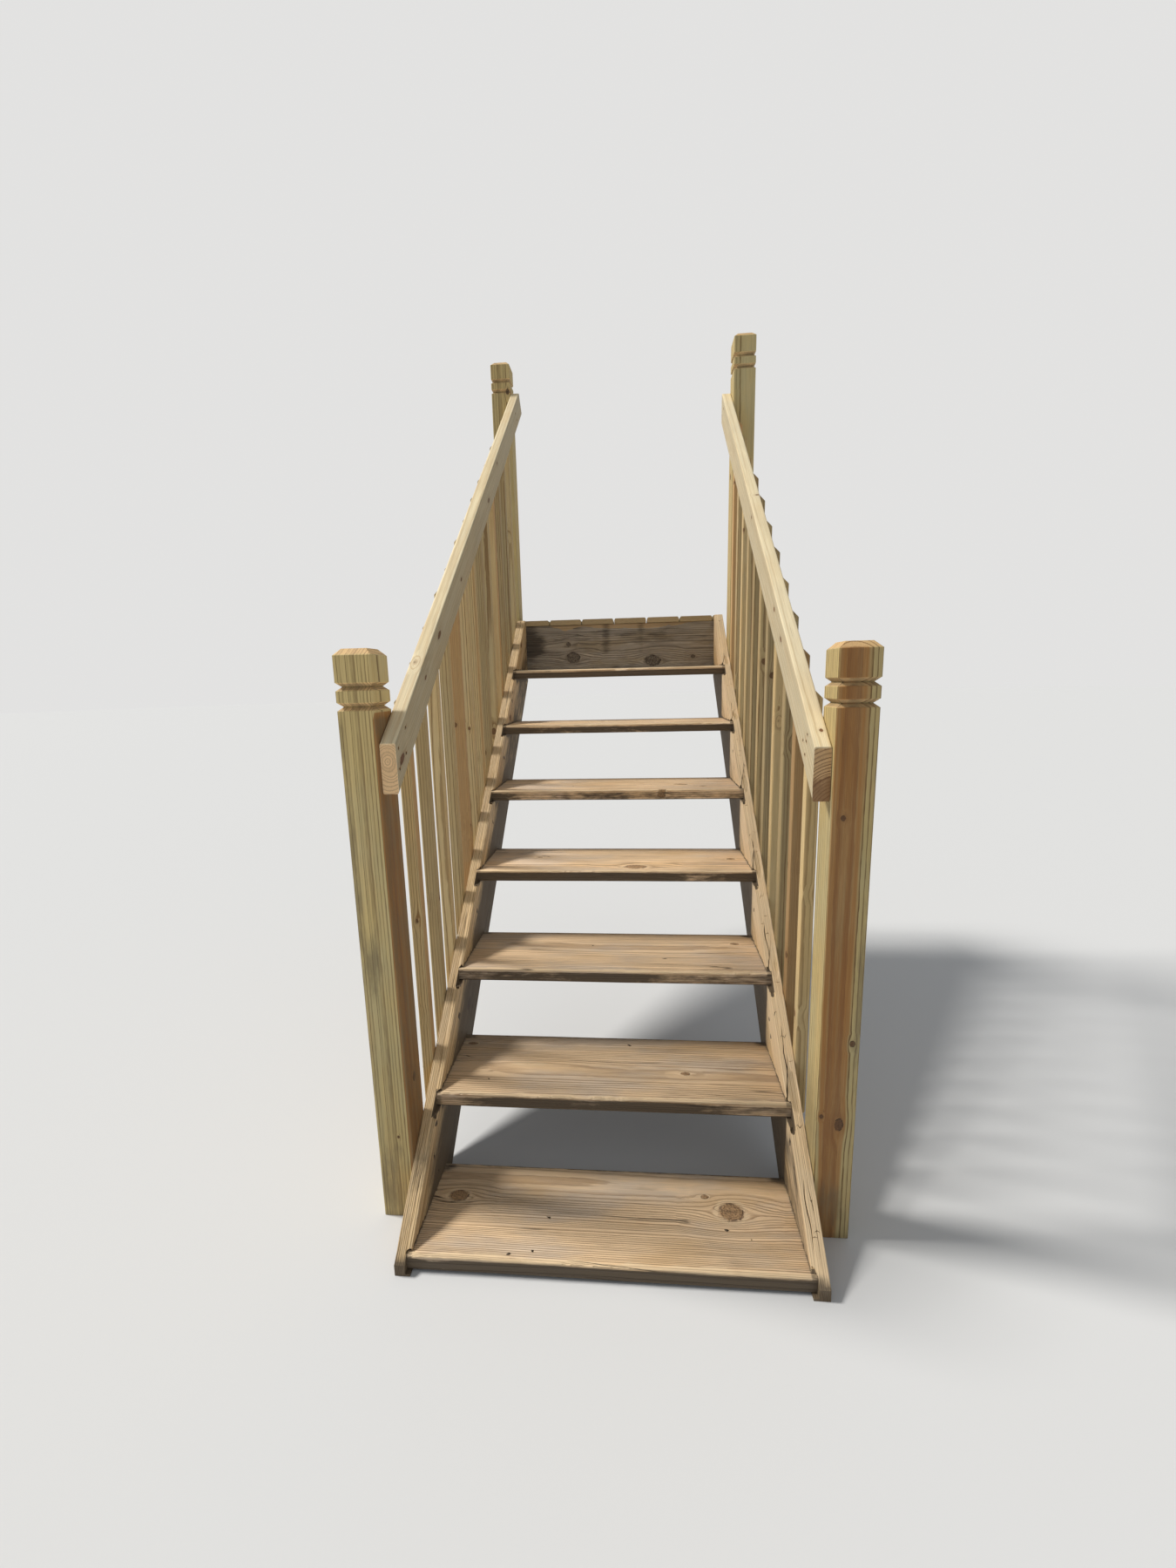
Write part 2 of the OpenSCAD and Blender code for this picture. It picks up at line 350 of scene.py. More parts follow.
def grainData(obj, place, pith, knots, seed, holes=(), wear=0.0, tone=0.0, stain=0.0, heartEdge=0.0):
    # Where each point lies in the log, and in the nearest knot: what the wood materials are drawn from
    world = vertexArray(obj)
    local = toLocal(place, world)
    log = local - np.array([0, *pith])
    log[:, 0] += seed * 7.31
    addAttribute(obj, "grainCo", log)
    # Knots go into two sets in turn, so that near ones don't meet in one set
    for k, label in enumerate(("knotA", "knotB")):
        best = np.full(len(local), np.inf)
        rel = np.full((len(local), 3), 30.0)
        size = np.full(len(local), 0.01)
        for x, across, axis, radius, stretch, *hollow in knots[k::2]:
            way = np.array(axis, float)
            way /= np.linalg.norm(way)
            d = local - np.array([x, *across])
            along = d @ way
            d = d - along[:, None] * way
            d[:, 0] /= stretch
            d = d / radius
            # Behind the knot and far from it the vector turns out of its plane, so it never nears zero again
            turned = way if way @ np.array([0.1, 0.4, 1.0]) > 0 else -way
            d += (np.maximum(0, -along / radius - 0.5) + (hollow[0] if hollow else 0))[:, None] * turned
            reach = np.linalg.norm(d, axis=1)
            near = reach < best
            best[near] = reach[near]
            rel[near] = (d + (20 * ramp(reach, 4.0, 8.0))[:, None] * turned)[near]
            size[near] = radius
        addAttribute(obj, label, rel)
        addAttribute(obj, label + "Size", size)
    fields = {"wear": wear, "tone": tone, "stain": stain, "heartEdge": heartEdge}
    for label, given in fields.items():
        fields[label] = given(local) if callable(given) else np.full(len(local), given)
    # The inside of each hole gets the darkest stain: painted shade in the hole
    for point, way, radius, depth in holes:
        d = world - np.array(point)
        deep = d @ np.array(way)
        aside = np.linalg.norm(d - deep[:, None] * np.array(way), axis=1)
        inHole = (aside < radius * 1.15) & (deep > 0.0006) & (deep < depth * 1.2)
        fields["stain"] = np.where(inHole, 2.0, fields["stain"])
    facing = np.empty(len(local) * 3, np.float32)
    obj.data.vertices.foreach_get("normal", facing)
    fields["endGrain"] = ramp(np.abs(facing.reshape(-1, 3) @ np.array(place)[:3, 0]), 0.45, 0.75)
    for label, values in fields.items():
        addAttribute(obj, label, values)
    shadeSmooth(obj, 32)


def plainBoard(name, place, size, mesh, stations, shape, start=None, end=None):
    # A closed board of (length, width, thickness), between ends that may slant across its section
    length, width, thick = size
    section, normal = outline(width, thick, **mesh)
    t = spread(length, *stations)[:, None] / length
    low = 0.0 if start is None else start(section)
    high = length if end is None else end(section)
    verts, faces = loft(shape(*sectionGrid(low * (1 - t) + high * t, section, normal)))
    return meshFrom(name, toWorld(place, verts), faces)


def board(name, cadNode, slot, place, *form, start=None, end=None, cuts=None, holes=(), **grain):
    obj = plainBoard(name, place, *form, start, end)
    if cuts is not None:
        cuts(obj)
    if holes:
        carve(obj, [pinCutter(*hole) for hole in holes])
    grainData(obj, place, holes=holes, **grain)
    finishPiece(obj, slot, cadNode)


def pieceName(cadNode):
    first, *others = cadNode.split("_")
    return first + "".join(word.capitalize() for word in others)


# Material helpers. Those without a tree among their inputs work in the tree of the sockets they are given

def fill(socket, value):
    if isinstance(value, bpy.types.NodeSocket):
        socket.id_data.links.new(value, socket)
    else:
        socket.default_value = value


def treeOf(*values):
    return next(v.id_data for v in values if isinstance(v, bpy.types.NodeSocket))


def node(tree, kind, inputs=None, **settings):
    n = tree.nodes.new("ShaderNode" + kind)
    for key, value in settings.items():
        setattr(n, key, value)
    for key, value in (inputs or {}).items():
        fill(n.inputs[key], value)
    return n


def calc(operation, *values, clamp=False):
    n = node(treeOf(*values), "Math", dict(enumerate(values)), operation=operation, use_clamp=clamp)
    return n.outputs[0]


def add(a, b):
    return calc("ADD", a, b)


def sub(a, b, clamp=False):
    return calc("SUBTRACT", a, b, clamp=clamp)


def mul(a, b, clamp=False):
    return calc("MULTIPLY", a, b, clamp=clamp)


def scaled(value, factor, offset):
    return calc("MULTIPLY_ADD", value, factor, offset)


def bell(value, middle, width):
    # 1 at the middle, falling to 0 about two widths away
    return calc("EXPONENT", mul(calc("POWER", calc("DIVIDE", sub(value, middle), width), 2.0), -1.0))


def vector(operation, a, b):
    return node(treeOf(a, b), "VectorMath", {0: a, 1: b}, operation=operation).outputs[0]


def combined(tree, x, y, z):
    return node(tree, "CombineXYZ", {0: x, 1: y, 2: z}).outputs[0]


def smooth(value, low, high, start=0.0, end=1.0):
    inputs = {"Value": value, "From Min": low, "From Max": high, "To Min": start, "To Max": end}
    return node(value.id_data, "MapRange", inputs, interpolation_type="SMOOTHSTEP").outputs[0]


def grainNoise(co, scale, detail=2.0, rough=0.5, output="Fac"):
    inputs = {"Vector": vector("MULTIPLY", co, scale), "Scale": 1.0, "Detail": detail, "Roughness": rough}
    return node(co.id_data, "TexNoise", inputs).outputs[output]


def blend(factor, a, b, mode="MIX"):
    n = node(treeOf(factor, a, b), "Mix", {0: factor}, data_type="RGBA", blend_type=mode)
    for key, value in ((6, a), (7, b)):
        fill(n.inputs[key], value if isinstance(value, bpy.types.NodeSocket) else (*value, 1.0))
    return n.outputs[2]


def newGroup(name, inputs, outputs, vectors=()):
    tree = bpy.data.node_groups.new(name, "ShaderNodeTree")
    for label, value in inputs.items():
        kind = "Vector" if isinstance(value, tuple) else "Float"
        socket = tree.interface.new_socket(label, in_out="INPUT", socket_type="NodeSocket" + kind)
        socket.default_value = value
    for label in (*outputs, *vectors):
        kind = "Vector" if label in vectors else "Float"
        tree.interface.new_socket(label, in_out="OUTPUT", socket_type="NodeSocket" + kind)
    out = tree.nodes.new("NodeGroupOutput").inputs

    def send(**results):
        for label, value in results.items():
            fill(out[label], value)
        return tree

    return tree, tree.nodes.new("NodeGroupInput").outputs, send


def useGroup(tree, group, **values):
    n = node(tree, "Group", node_tree=group)
    for label, value in values.items():
        fill(n.inputs[label], value)
    return n.outputs


def attribute(tree, name, output="Fac"):
    return node(tree, "Attribute", attribute_name=name).outputs[output]


def emptyMaterial(name):
    material = bpy.data.materials.new(name)
    material.use_nodes = True
    material.node_tree.nodes.clear()
    return material, material.node_tree


# Growth rings cut by the board's faces, with the grain flowing round each knot
def makeRingGroup():
    inputs = {"Spacing": 0.005, "Warp": 0.012, "Drift": 1.1, "Sharp": 0.5, "Flow": (0.0, 0.0, 0.0)}
    tree, given, send = newGroup("growthRings", inputs, ["Late", "Tone", "Fibre", "Streak", "Radius"])
    co = vector("SUBTRACT", attribute(tree, "grainCo", "Vector"), given["Flow"])
    slow = combined(tree, given["Drift"], 7.0, 7.0)
    wander = vector("SUBTRACT", grainNoise(co, slow, 3.0, 0.45, "Color"), (0.5, 0.5, 0.5))
    amount = combined(tree, 0.0, given["Warp"], given["Warp"])
    parts = node(tree, "SeparateXYZ", {0: vector("ADD", co, vector("MULTIPLY", wander, amount))}).outputs
    depth = calc("SQRT", add(mul(parts[1], parts[1]), mul(parts[2], parts[2])))
    uneven = node(tree, "TexNoise", {"W": depth, "Scale": 46.0, "Detail": 1.0}, noise_dimensions="1D")
    phase = add(calc("DIVIDE", depth, given["Spacing"]), mul(uneven.outputs["Fac"], 2.6))
    phase = add(phase, scaled(grainNoise(co, (22.0, 300.0, 300.0), 2.0), 0.3, -0.15))
    part = calc("FRACT", phase)
    tone = node(tree, "TexWhiteNoise", {"W": calc("FLOOR", phase)}, noise_dimensions="1D").outputs["Value"]
    return send(Late=mul(smooth(part, given["Sharp"], 0.88), smooth(part, 0.9, 1.0, 1.0, 0.0)), Tone=tone,
                Fibre=grainNoise(co, (9.0, 800.0, 800.0), 2.0, 0.6),
                Streak=grainNoise(co, (1.8, 95.0, 95.0), 4.0, 0.6), Radius=depth)


# A knot: a ringed heart, a broken dark bark line, a halo, cracks, and how far it pushes the grain aside
def makeKnotGroup():
    tree, given, send = newGroup("knotRings", {"Place": (9.0, 9.0, 9.0), "Size": 0.01}, knotMasks, ["Flow"])
    knot = given["Place"]
    reach = node(tree, "VectorMath", {0: knot}, operation="LENGTH").outputs["Value"]
    wobble = scaled(grainNoise(knot, (1.1, 1.1, 1.1), 3.0), 0.5, -0.25)
    edge = add(reach, wobble)
    broken = smooth(grainNoise(knot, (1.6, 1.6, 1.6), 2.0), 0.38, 0.6, 0.15, 1.0)
    turn = calc("SINE", mul(add(edge, mul(wobble, 0.6)), 27.0))
    lines = calc("ABSOLUTE", sub(grainNoise(knot, (2.6, 0.9, 0.9), 3.0, 0.6), 0.5))
    # The grain parts in front of the knot and closes again behind it
    longer = vector("MULTIPLY", knot, (0.55, 1.0, 1.0))
    square = node(tree, "VectorMath", {0: longer, 1: longer}, operation="DOT_PRODUCT").outputs["Value"]
    push = calc("DIVIDE", mul(given["Size"], 0.95), add(square, 0.3))
    push = mul(push, smooth(reach, 2.0, 6.0, 1.0, 0.0))
    aside = vector("MULTIPLY", knot, (0.0, 1.0, 1.0))
    flow = node(tree, "VectorMath", {0: aside, "Scale": push}, operation="SCALE").outputs[0]
    return send(Knot=smooth(edge, 0.86, 1.06, 1.0, 0.0), Rim=mul(bell(edge, 1.0, 0.09), broken),
                Ring=scaled(turn, 0.5, 0.5), Halo=bell(reach, 0.0, 1.7), Collar=bell(edge, 1.32, 0.17),
                Cracks=mul(smooth(lines, 0.0, 0.022, 1.0, 0.0), smooth(edge, 0.95, 1.3, 1.0, 0.0)), Flow=flow)


# Long drying checks: thin dark lines that follow the grain and come and go
def makeCheckGroup():
    inputs = {"Width": 0.012, "Amount": 0.5, "Closeness": 40.0, "Knot": 0.0, "Flow": (0.0, 0.0, 0.0)}
    tree, given, send = newGroup("dryingChecks", inputs, ["Check"])
    co = vector("SUBTRACT", attribute(tree, "grainCo", "Vector"), given["Flow"])
    scale = combined(tree, 0.9, given["Closeness"], given["Closeness"])
    line = calc("ABSOLUTE", sub(grainNoise(co, scale, 3.0, 0.5), 0.5))
    thin = sub(1.0, calc("DIVIDE", line, given["Width"], clamp=True))
    start = scaled(sub(1.0, given["Amount"]), 0.5, 0.25)
    mask = mul(sub(grainNoise(co, (4.0, 26.0, 26.0), 1.0), start), 14.0, clamp=True)
    return send(Check=mul(mul(thin, mask), sub(1.0, given["Knot"], clamp=True)))


# A mask with a ragged edge, from a soft attribute such as stain or wear
def makeRaggedGroup():
    tree, given, send = newGroup("raggedEdge", {"Amount": 0.0, "Spread": 0.8, "Fine": 1.0}, ["Mask"])
    fine = vector("MULTIPLY", combined(tree, *[given["Fine"]] * 3), (16.0, 70.0, 70.0))
    co = vector("MULTIPLY", attribute(tree, "grainCo", "Vector"), fine)
    rag = sub(grainNoise(co, (1.0, 1.0, 1.0), 4.0, 0.65), 0.5)
    return send(Mask=smooth(add(given["Amount"], mul(rag, given["Spread"])), 0.3, 0.7))


knotMasks = ["Knot", "Rim", "Ring", "Halo", "Cracks", "Collar"]
ringGroup, knotGroup = makeRingGroup(), makeKnotGroup()
checkGroup, raggedGroup = makeCheckGroup(), makeRaggedGroup()


def woodMaterial(name, look):
    material, tree = emptyMaterial(name)
    knotA, knotB = (useGroup(tree, knotGroup, Place=attribute(tree, label, "Vector"),
                             Size=attribute(tree, label + "Size")) for label in ("knotA", "knotB"))
    knots = {key: calc("MAXIMUM", knotA[key], knotB[key]) for key in knotMasks}
    flow = vector("ADD", knotA["Flow"], knotB["Flow"])
    rings = useGroup(tree, ringGroup, Spacing=look["spacing"], Warp=look["warp"], Sharp=look["sharp"],
                     Flow=flow)
    checks = useGroup(tree, checkGroup, Width=look["checkWidth"], Amount=look["checks"],
                      Closeness=look["checkGap"], Knot=knots["Knot"], Flow=flow)[0]
    co = attribute(tree, "grainCo", "Vector")
    # Sapwood outside, redder heartwood near the pith, each with its early and late wood
    blur = scaled(grainNoise(co, (2.0, 30.0, 30.0), 2.0), 0.012, -0.006)
    heart = smooth(sub(add(rings["Radius"], blur), attribute(tree, "heartEdge")), -0.003, 0.003, 1.0, 0.0)
    early = blend(heart, look["early"], look["heartEarly"])
    late = blend(heart, look["late"], look["heartLate"])
    endGrain = attribute(tree, "endGrain")
    show = calc("MAXIMUM", scaled(heart, look["heartShow"] - look["lateShow"], look["lateShow"]), endGrain)
    lateAmount = mul(mul(rings["Late"], scaled(rings["Tone"], 0.6, 0.4)), show)
    # Streaks, grey and warm patches and grime lie in the early wood, so the late lines stay clear
    early = blend(smooth(rings["Streak"], 0.42, 0.72, 0.0, look["streakShow"]), early, look["streak"])
    patch = smooth(grainNoise(co, (2.6, 9.0, 9.0), 4.0, 0.6), 0.42, 0.66, 0.0, look["patchShow"])
    early = blend(mul(patch, scaled(heart, -0.8, 1.0)), early, look["patch"])
    warm = grainNoise(vector("ADD", co, (1.9, 4.1, 2.2)), (3.2, 12.0, 12.0), 3.0, 0.55)
    early = blend(smooth(warm, 0.48, 0.7, 0.0, look["warmShow"]), early, look["warm"])
    grime = grainNoise(vector("ADD", co, (3.7, 1.3, 0.2)), (5.0, 30.0, 30.0), 4.0, 0.65)
    early = blend(smooth(grime, 0.52, 0.8, 0.0, look["grimeShow"]), early, look["grime"])
    onEnd = mul(endGrain, look["endShow"])
    colour = blend(lateAmount, blend(onEnd, early, look["end"]), blend(onEnd, late, look["endLate"]))
    worn = useGroup(tree, raggedGroup, Amount=attribute(tree, "wear"), Spread=0.7, Fine=2.0)[0]
    knotColour = blend(mul(knots["Ring"], look["knotRing"]), look["knot"], look["knotDark"])
    layers = [(worn, "wornShow", look["worn"]), (knots["Halo"], "haloShow", look["knot"]),
              (knots["Collar"], "collarShow", look["worn"]), (knots["Knot"], "knotShow", knotColour),
              (knots["Rim"], "rimShow", look["knotDark"]), (knots["Cracks"], "knotCrack", look["crack"])]
    for mask, amount, tint in layers:
        colour = blend(mul(mask, look[amount]), colour, tint)
    # Fibres, ring to ring and board to board tone, dirt and checks
    fine = smooth(rings["Fibre"], 0.25, 0.75, 1.0 - look["fibreShow"], 1.0 + look["fibreShow"] * 0.6)
    ringTone = scaled(rings["Tone"], look["ringTone"], 1.0 - look["ringTone"] / 2)
    value = mul(mul(fine, ringTone), scaled(attribute(tree, "tone"), look["toneShow"], 1.0))
    grey = node(tree, "CombineColor", {0: value, 1: value, 2: value}).outputs[0]
    colour = blend(1.0, colour, grey, "MULTIPLY")
    dirty = useGroup(tree, raggedGroup, Amount=attribute(tree, "stain"), Spread=look["stainRag"],
                     Fine=look["stainFine"])[0]
    dirt = blend(rings["Streak"], look["stain"], look["stainPale"])
    colour = blend(mul(dirty, look["stainShow"]), colour, dirt)
    colour = blend(mul(checks, 0.85), colour, look["crack"])
    height = scaled(rings["Late"], look["ridge"], mul(rings["Fibre"], 0.45))
    height = sub(add(height, mul(rings["Streak"], 0.5)), mul(checks, 2.4))
    height = sub(height, mul(add(knots["Rim"], knots["Cracks"]), 0.9))
    bump = node(tree, "Bump", {"Strength": look["bump"], "Distance": 0.0012, "Height": height}).outputs[0]
    rough = smooth(rings["Late"], 0.0, 1.0, look["roughness"], look["roughness"] - 0.1)
    shader = node(tree, "BsdfPrincipled", {"Base Color": colour, "Roughness": rough, "Normal": bump})
    shader.inputs["Specular IOR Level"].default_value = 0.28
    node(tree, "OutputMaterial", {"Surface": shader.outputs[0]})
    return material


# Looks shared by all wood, then what differs for each kind
woodLook = {
    "spacing": 0.0046, "warp": 0.01, "sharp": 0.48, "lateShow": 0.8, "heartShow": 0.6, "ringTone": 0.14,
    "early": (0.6, 0.47, 0.25), "late": (0.34, 0.205, 0.075), "heartEarly": (0.5, 0.28, 0.115),
    "heartLate": (0.33, 0.15, 0.05), "streak": (0.46, 0.345, 0.17), "streakShow": 0.35,
    "patch": (0.5, 0.44, 0.28), "patchShow": 0.3, "warm": (0.56, 0.36, 0.16), "warmShow": 0.2,
    "grime": (0.25, 0.2, 0.12), "grimeShow": 0.15, "worn": (0.62, 0.48, 0.3), "wornShow": 0.85,
    "knot": (0.26, 0.115, 0.045), "knotDark": (0.06, 0.03, 0.018), "knotRing": 0.45, "knotShow": 0.95,
    "haloShow": 0.3, "collarShow": 0.0, "rimShow": 0.8, "knotCrack": 0.6, "crack": (0.03, 0.02, 0.013),
    "fibreShow": 0.16, "toneShow": 0.25, "stain": (0.1, 0.09, 0.06), "stainPale": (0.24, 0.215, 0.15),
    "stainShow": 0.6, "stainRag": 0.9, "stainFine": 0.6, "end": (0.56, 0.36, 0.17),
    "endLate": (0.15, 0.065, 0.025), "endShow": 0.85, "checks": 0.1, "checkWidth": 0.006, "checkGap": 34.0,
    "ridge": 0.5, "bump": 0.35, "roughness": 0.72,
}
looks = {
    "old_stringer_wood": {
        "early": (0.745, 0.54, 0.292), "late": (0.27, 0.15, 0.06), "lateShow": 0.95,
        "streak": (0.38, 0.27, 0.16), "patch": (0.52, 0.44, 0.32), "patchShow": 0.45,
        "warm": (0.56, 0.34, 0.14), "warmShow": 0.3, "grime": (0.2, 0.15, 0.1), "grimeShow": 0.4,
        "heartEarly": (0.5, 0.33, 0.17), "heartLate": (0.28, 0.16, 0.07), "stain": (0.035, 0.026, 0.018),
        "stainPale": (0.13, 0.1, 0.07), "stainShow": 0.88, "checks": 0.3, "checkWidth": 0.008, "bump": 0.8,
        "ridge": 0.9, "worn": (0.8, 0.61, 0.385), "wornShow": 0.75, "spacing": 0.005},
    "weathered_tread_wood": {
        "early": (0.75, 0.542, 0.335), "late": (0.26, 0.15, 0.075), "lateShow": 0.85,
        "streak": (0.4, 0.285, 0.18), "streakShow": 0.45, "patch": (0.52, 0.44, 0.36), "patchShow": 0.65,
        "warm": (0.6, 0.38, 0.17), "warmShow": 0.4, "grime": (0.2, 0.145, 0.1), "grimeShow": 0.4,
        "heartEarly": (0.52, 0.35, 0.2), "heartLate": (0.3, 0.18, 0.09), "knot": (0.46, 0.27, 0.125),
        "knotDark": (0.11, 0.06, 0.035), "knotRing": 0.5, "haloShow": 0.2, "collarShow": 0.55,
        "rimShow": 0.85, "knotShow": 0.8, "stain": (0.028, 0.021, 0.015), "stainPale": (0.13, 0.1, 0.068),
        "stainShow": 0.93, "stainRag": 0.8, "stainFine": 1.2, "checks": 0.34, "checkWidth": 0.007,
        "checkGap": 26.0, "bump": 1.0, "ridge": 1.1, "worn": (0.72, 0.55, 0.35), "spacing": 0.0042,
        "warp": 0.012, "sharp": 0.5},
    "dark_rim_wood": {
        "early": (0.44, 0.39, 0.32), "late": (0.055, 0.043, 0.033), "streak": (0.15, 0.125, 0.1),
        "patch": (0.48, 0.44, 0.38), "streakShow": 0.55, "ringTone": 0.4, "fibreShow": 0.3,
        "patchShow": 0.5, "warm": (0.34, 0.26, 0.14), "warmShow": 0.5, "grime": (0.045, 0.037, 0.03),
        "grimeShow": 0.8, "heartEarly": (0.37, 0.32, 0.255), "heartLate": (0.075, 0.06, 0.046),
        "knot": (0.26, 0.22, 0.175), "knotDark": (0.022, 0.017, 0.013), "knotRing": 0.8, "knotShow": 0.7,
        "knotCrack": 1.0, "rimShow": 1.0, "haloShow": 0.45, "lateShow": 1.0, "spacing": 0.0042,
        "checks": 0.3, "checkWidth": 0.008, "bump": 1.0, "worn": (0.5, 0.36, 0.21), "wornShow": 0.95,
        "ridge": 1.0, "stain": (0.02, 0.017, 0.014), "stainPale": (0.06, 0.05, 0.04), "stainShow": 0.8},
    "new_deck_wood": {
        "early": (0.44, 0.375, 0.2), "late": (0.26, 0.175, 0.08), "end": (0.56, 0.43, 0.25),
        "endLate": (0.2, 0.12, 0.055), "patch": (0.36, 0.33, 0.2), "patchShow": 0.5, "grimeShow": 0.3,
        "stainShow": 0.5},
    "new_post_wood": {
        "spacing": 0.0085, "warp": 0.008, "sharp": 0.6, "early": (0.56, 0.43, 0.19), "lateShow": 1.0,
        "late": (0.13, 0.07, 0.02), "patch": (0.46, 0.42, 0.25), "patchShow": 0.45,
        "end": (0.76, 0.5, 0.24), "endLate": (0.33, 0.17, 0.065), "stain": (0.115, 0.085, 0.045),
        "stainPale": (0.25, 0.2, 0.12), "heartEarly": (0.37, 0.175, 0.052), "heartLate": (0.19, 0.07, 0.02),
        "knot": (0.2, 0.1, 0.045), "knotDark": (0.016, 0.01, 0.007), "rimShow": 1.0, "haloShow": 0.4},
    "new_rail_wood": {
        "early": (0.685, 0.588, 0.39), "late": (0.4, 0.27, 0.12), "lateShow": 0.6,
        "patch": (0.56, 0.5, 0.37), "spacing": 0.0056, "end": (0.56, 0.36, 0.18),
        "endLate": (0.085, 0.035, 0.015), "endShow": 1.0, "stain": (0.13, 0.055, 0.022),
        "stainPale": (0.3, 0.16, 0.07), "stainShow": 0.75, "worn": (0.92, 0.64, 0.36), "wornShow": 0.4},
    "new_baluster_wood": {
        "knot": (0.27, 0.145, 0.06), "knotDark": (0.07, 0.035, 0.018), "haloShow": 0.35, "rimShow": 0.85,
        "early": (0.56, 0.425, 0.215), "heartEarly": (0.46, 0.29, 0.13), "lateShow": 0.9,
        "late": (0.2, 0.11, 0.04)},
}
woods = {slot: woodMaterial(slot, {**woodLook, **look}) for slot, look in looks.items()}
print("materials made")


# Treads: cupped planks with raised grain, worn and chipped front edges, long checks and old nail holes
treadLook = {"roundDeep": 0.0032, "chipDeep": 0.006, "cup": 0.0012, "grainDeep": 0.0005, "slowDeep": 0.0006,
             "checkWide": 0.0013, "checkDeep": 0.004, "nailRadius": 0.0018, "nailDeep": 0.007,
             "bottomDirt": 0.7, "backDirt": 0.62, "cornerDirt": 0.6, "sideDirt": 0.5,
             "mesh": {"radius": 0.0015, "step": 0.0045, "fine": 0.0012, "band": 0.014, "sideStep": 0.003},
             "stations": (0.0072, 0.002, 0.004)}
# Of each tread: tone, dirt and painted shade on the front face and blots of it (place, half width, more),
# pith across the board, knots and long figures (x, across, radius, stretch), nail holes, checks as paths of
# (x, across), and how much wider its nose is worn
treads = {
    1: {
        "tone": 0.8, "front": 0.88, "blots": [(0.3, 0.12, 0.3), (0.6, 0.2, 0.3), (0.05, 0.08, -0.2)],
        "pith": (0.09, -0.09),
        "knots": [(0.771, 0.021, 0.0235, 1.25), (0.715, 0.062, 0.0065, 1.5), (0.075, 0.031, 0.015, 1.6)],
        "holes": [(0.32, -0.016), (0.295, -0.105), (0.241, -0.116), (0.757, -0.026), (0.81, -0.048)],
        "checks": [[(0.105, 0.022), (0.175, 0.036), (0.245, 0.03), (0.321, 0.042), (0.45, 0.033)],
                   [(0.6, 0.05), (0.66, 0.056), (0.7, 0.046)],
                   [(0.82, 0.05), (0.87, 0.062), (0.915, 0.058)]]},
    2: {
        "tone": -0.1, "front": 0.7,
        "blots": [(0.33, 0.1, 0.3), (0.62, 0.09, 0.25), (0.85, 0.17, -0.45), (0.04, 0.09, -0.3)],
        "pith": (-0.03, -0.1), "knots": [(0.674, -0.026, 0.007, 1.8), (0.044, 0.086, 0.006, 2.5)],
        "figures": [(0.23, -0.001, 0.011, 6.0)], "holes": [(0.52, 0.1), (0.13, -0.07)],
        "checks": [[(0.655, -0.094), (0.75, -0.106), (0.908, -0.115)],
                   [(0.56, -0.078), (0.68, -0.086), (0.82, -0.088)],
                   [(0.1, 0.03), (0.2, 0.035), (0.42, 0.032)], [(0.3, -0.03), (0.45, -0.036)],
                   [(0.7, -0.06), (0.9, -0.072)]]},
    3: {
        "tone": 0.65, "front": 0.5, "blots": [(0.4, 0.1, 0.25)], "pith": (0.03, -0.09),
        "knots": [(0.86, 0.06, 0.007, 2.0)], "figures": [(0.21, 0.055, 0.009, 5.0)], "holes": [(0.4, 0.04)],
        "checks": [[(0.05, -0.1), (0.3, -0.105), (0.52, -0.11)], [(0.4, -0.07), (0.66, -0.078)],
                   [(0.6, -0.115), (0.92, -0.118)]]},
    4: {
        "tone": 1.65, "front": 0.84, "blots": [(0.42, 0.12, 0.4), (0.8, 0.12, -0.25), (0.02, 0.09, -0.2)],
        "pith": (-0.05, -0.08),
        "knots": [(0.54, -0.088, 0.019, 1.9), (0.879, 0.0, 0.008, 1.8), (0.19, 0.02, 0.006, 2.0)],
        "holes": [(0.8, 0.02)],
        "checks": [[(0.05, -0.05), (0.3, -0.055), (0.46, -0.07)],
                   [(0.62, -0.07), (0.8, -0.085), (0.92, -0.088)]]},
    5: {
        "tone": 1.3, "front": 0.62, "blots": [(0.8, 0.17, -0.22)], "pith": (0.04, -0.1),
        "knots": [(0.717, -0.02, 0.011, 2.3), (0.802, -0.063, 0.008, 1.9), (0.64, -0.131, 0.0075, 2.0)],
        "holes": [(0.3, -0.03)], "checks": [[(0.4, 0.03), (0.64, 0.02)], [(0.08, -0.08), (0.36, -0.075)]]},
    6: {
        "tone": 1.6, "nose": 0.003, "front": 0.76, "blots": [(0.03, 0.06, 0.8)], "pith": (-0.02, -0.09),
        "knots": [(0.4, 0.03, 0.009, 1.6)], "holes": [],
        "checks": [[(0.1, -0.1), (0.4, -0.11)], [(0.55, -0.06), (0.85, -0.07)]]},
    7: {
        "tone": 1.2, "nose": 0.006, "front": 0.95, "blots": [(0.62, 0.22, 0.5), (0.03, 0.08, 0.3)],
        "pith": (0.01, -0.1), "knots": [(0.62, 0.05, 0.01, 1.6)], "holes": [],
        "checks": [[(0.2, -0.08), (0.5, -0.085)]]},
}


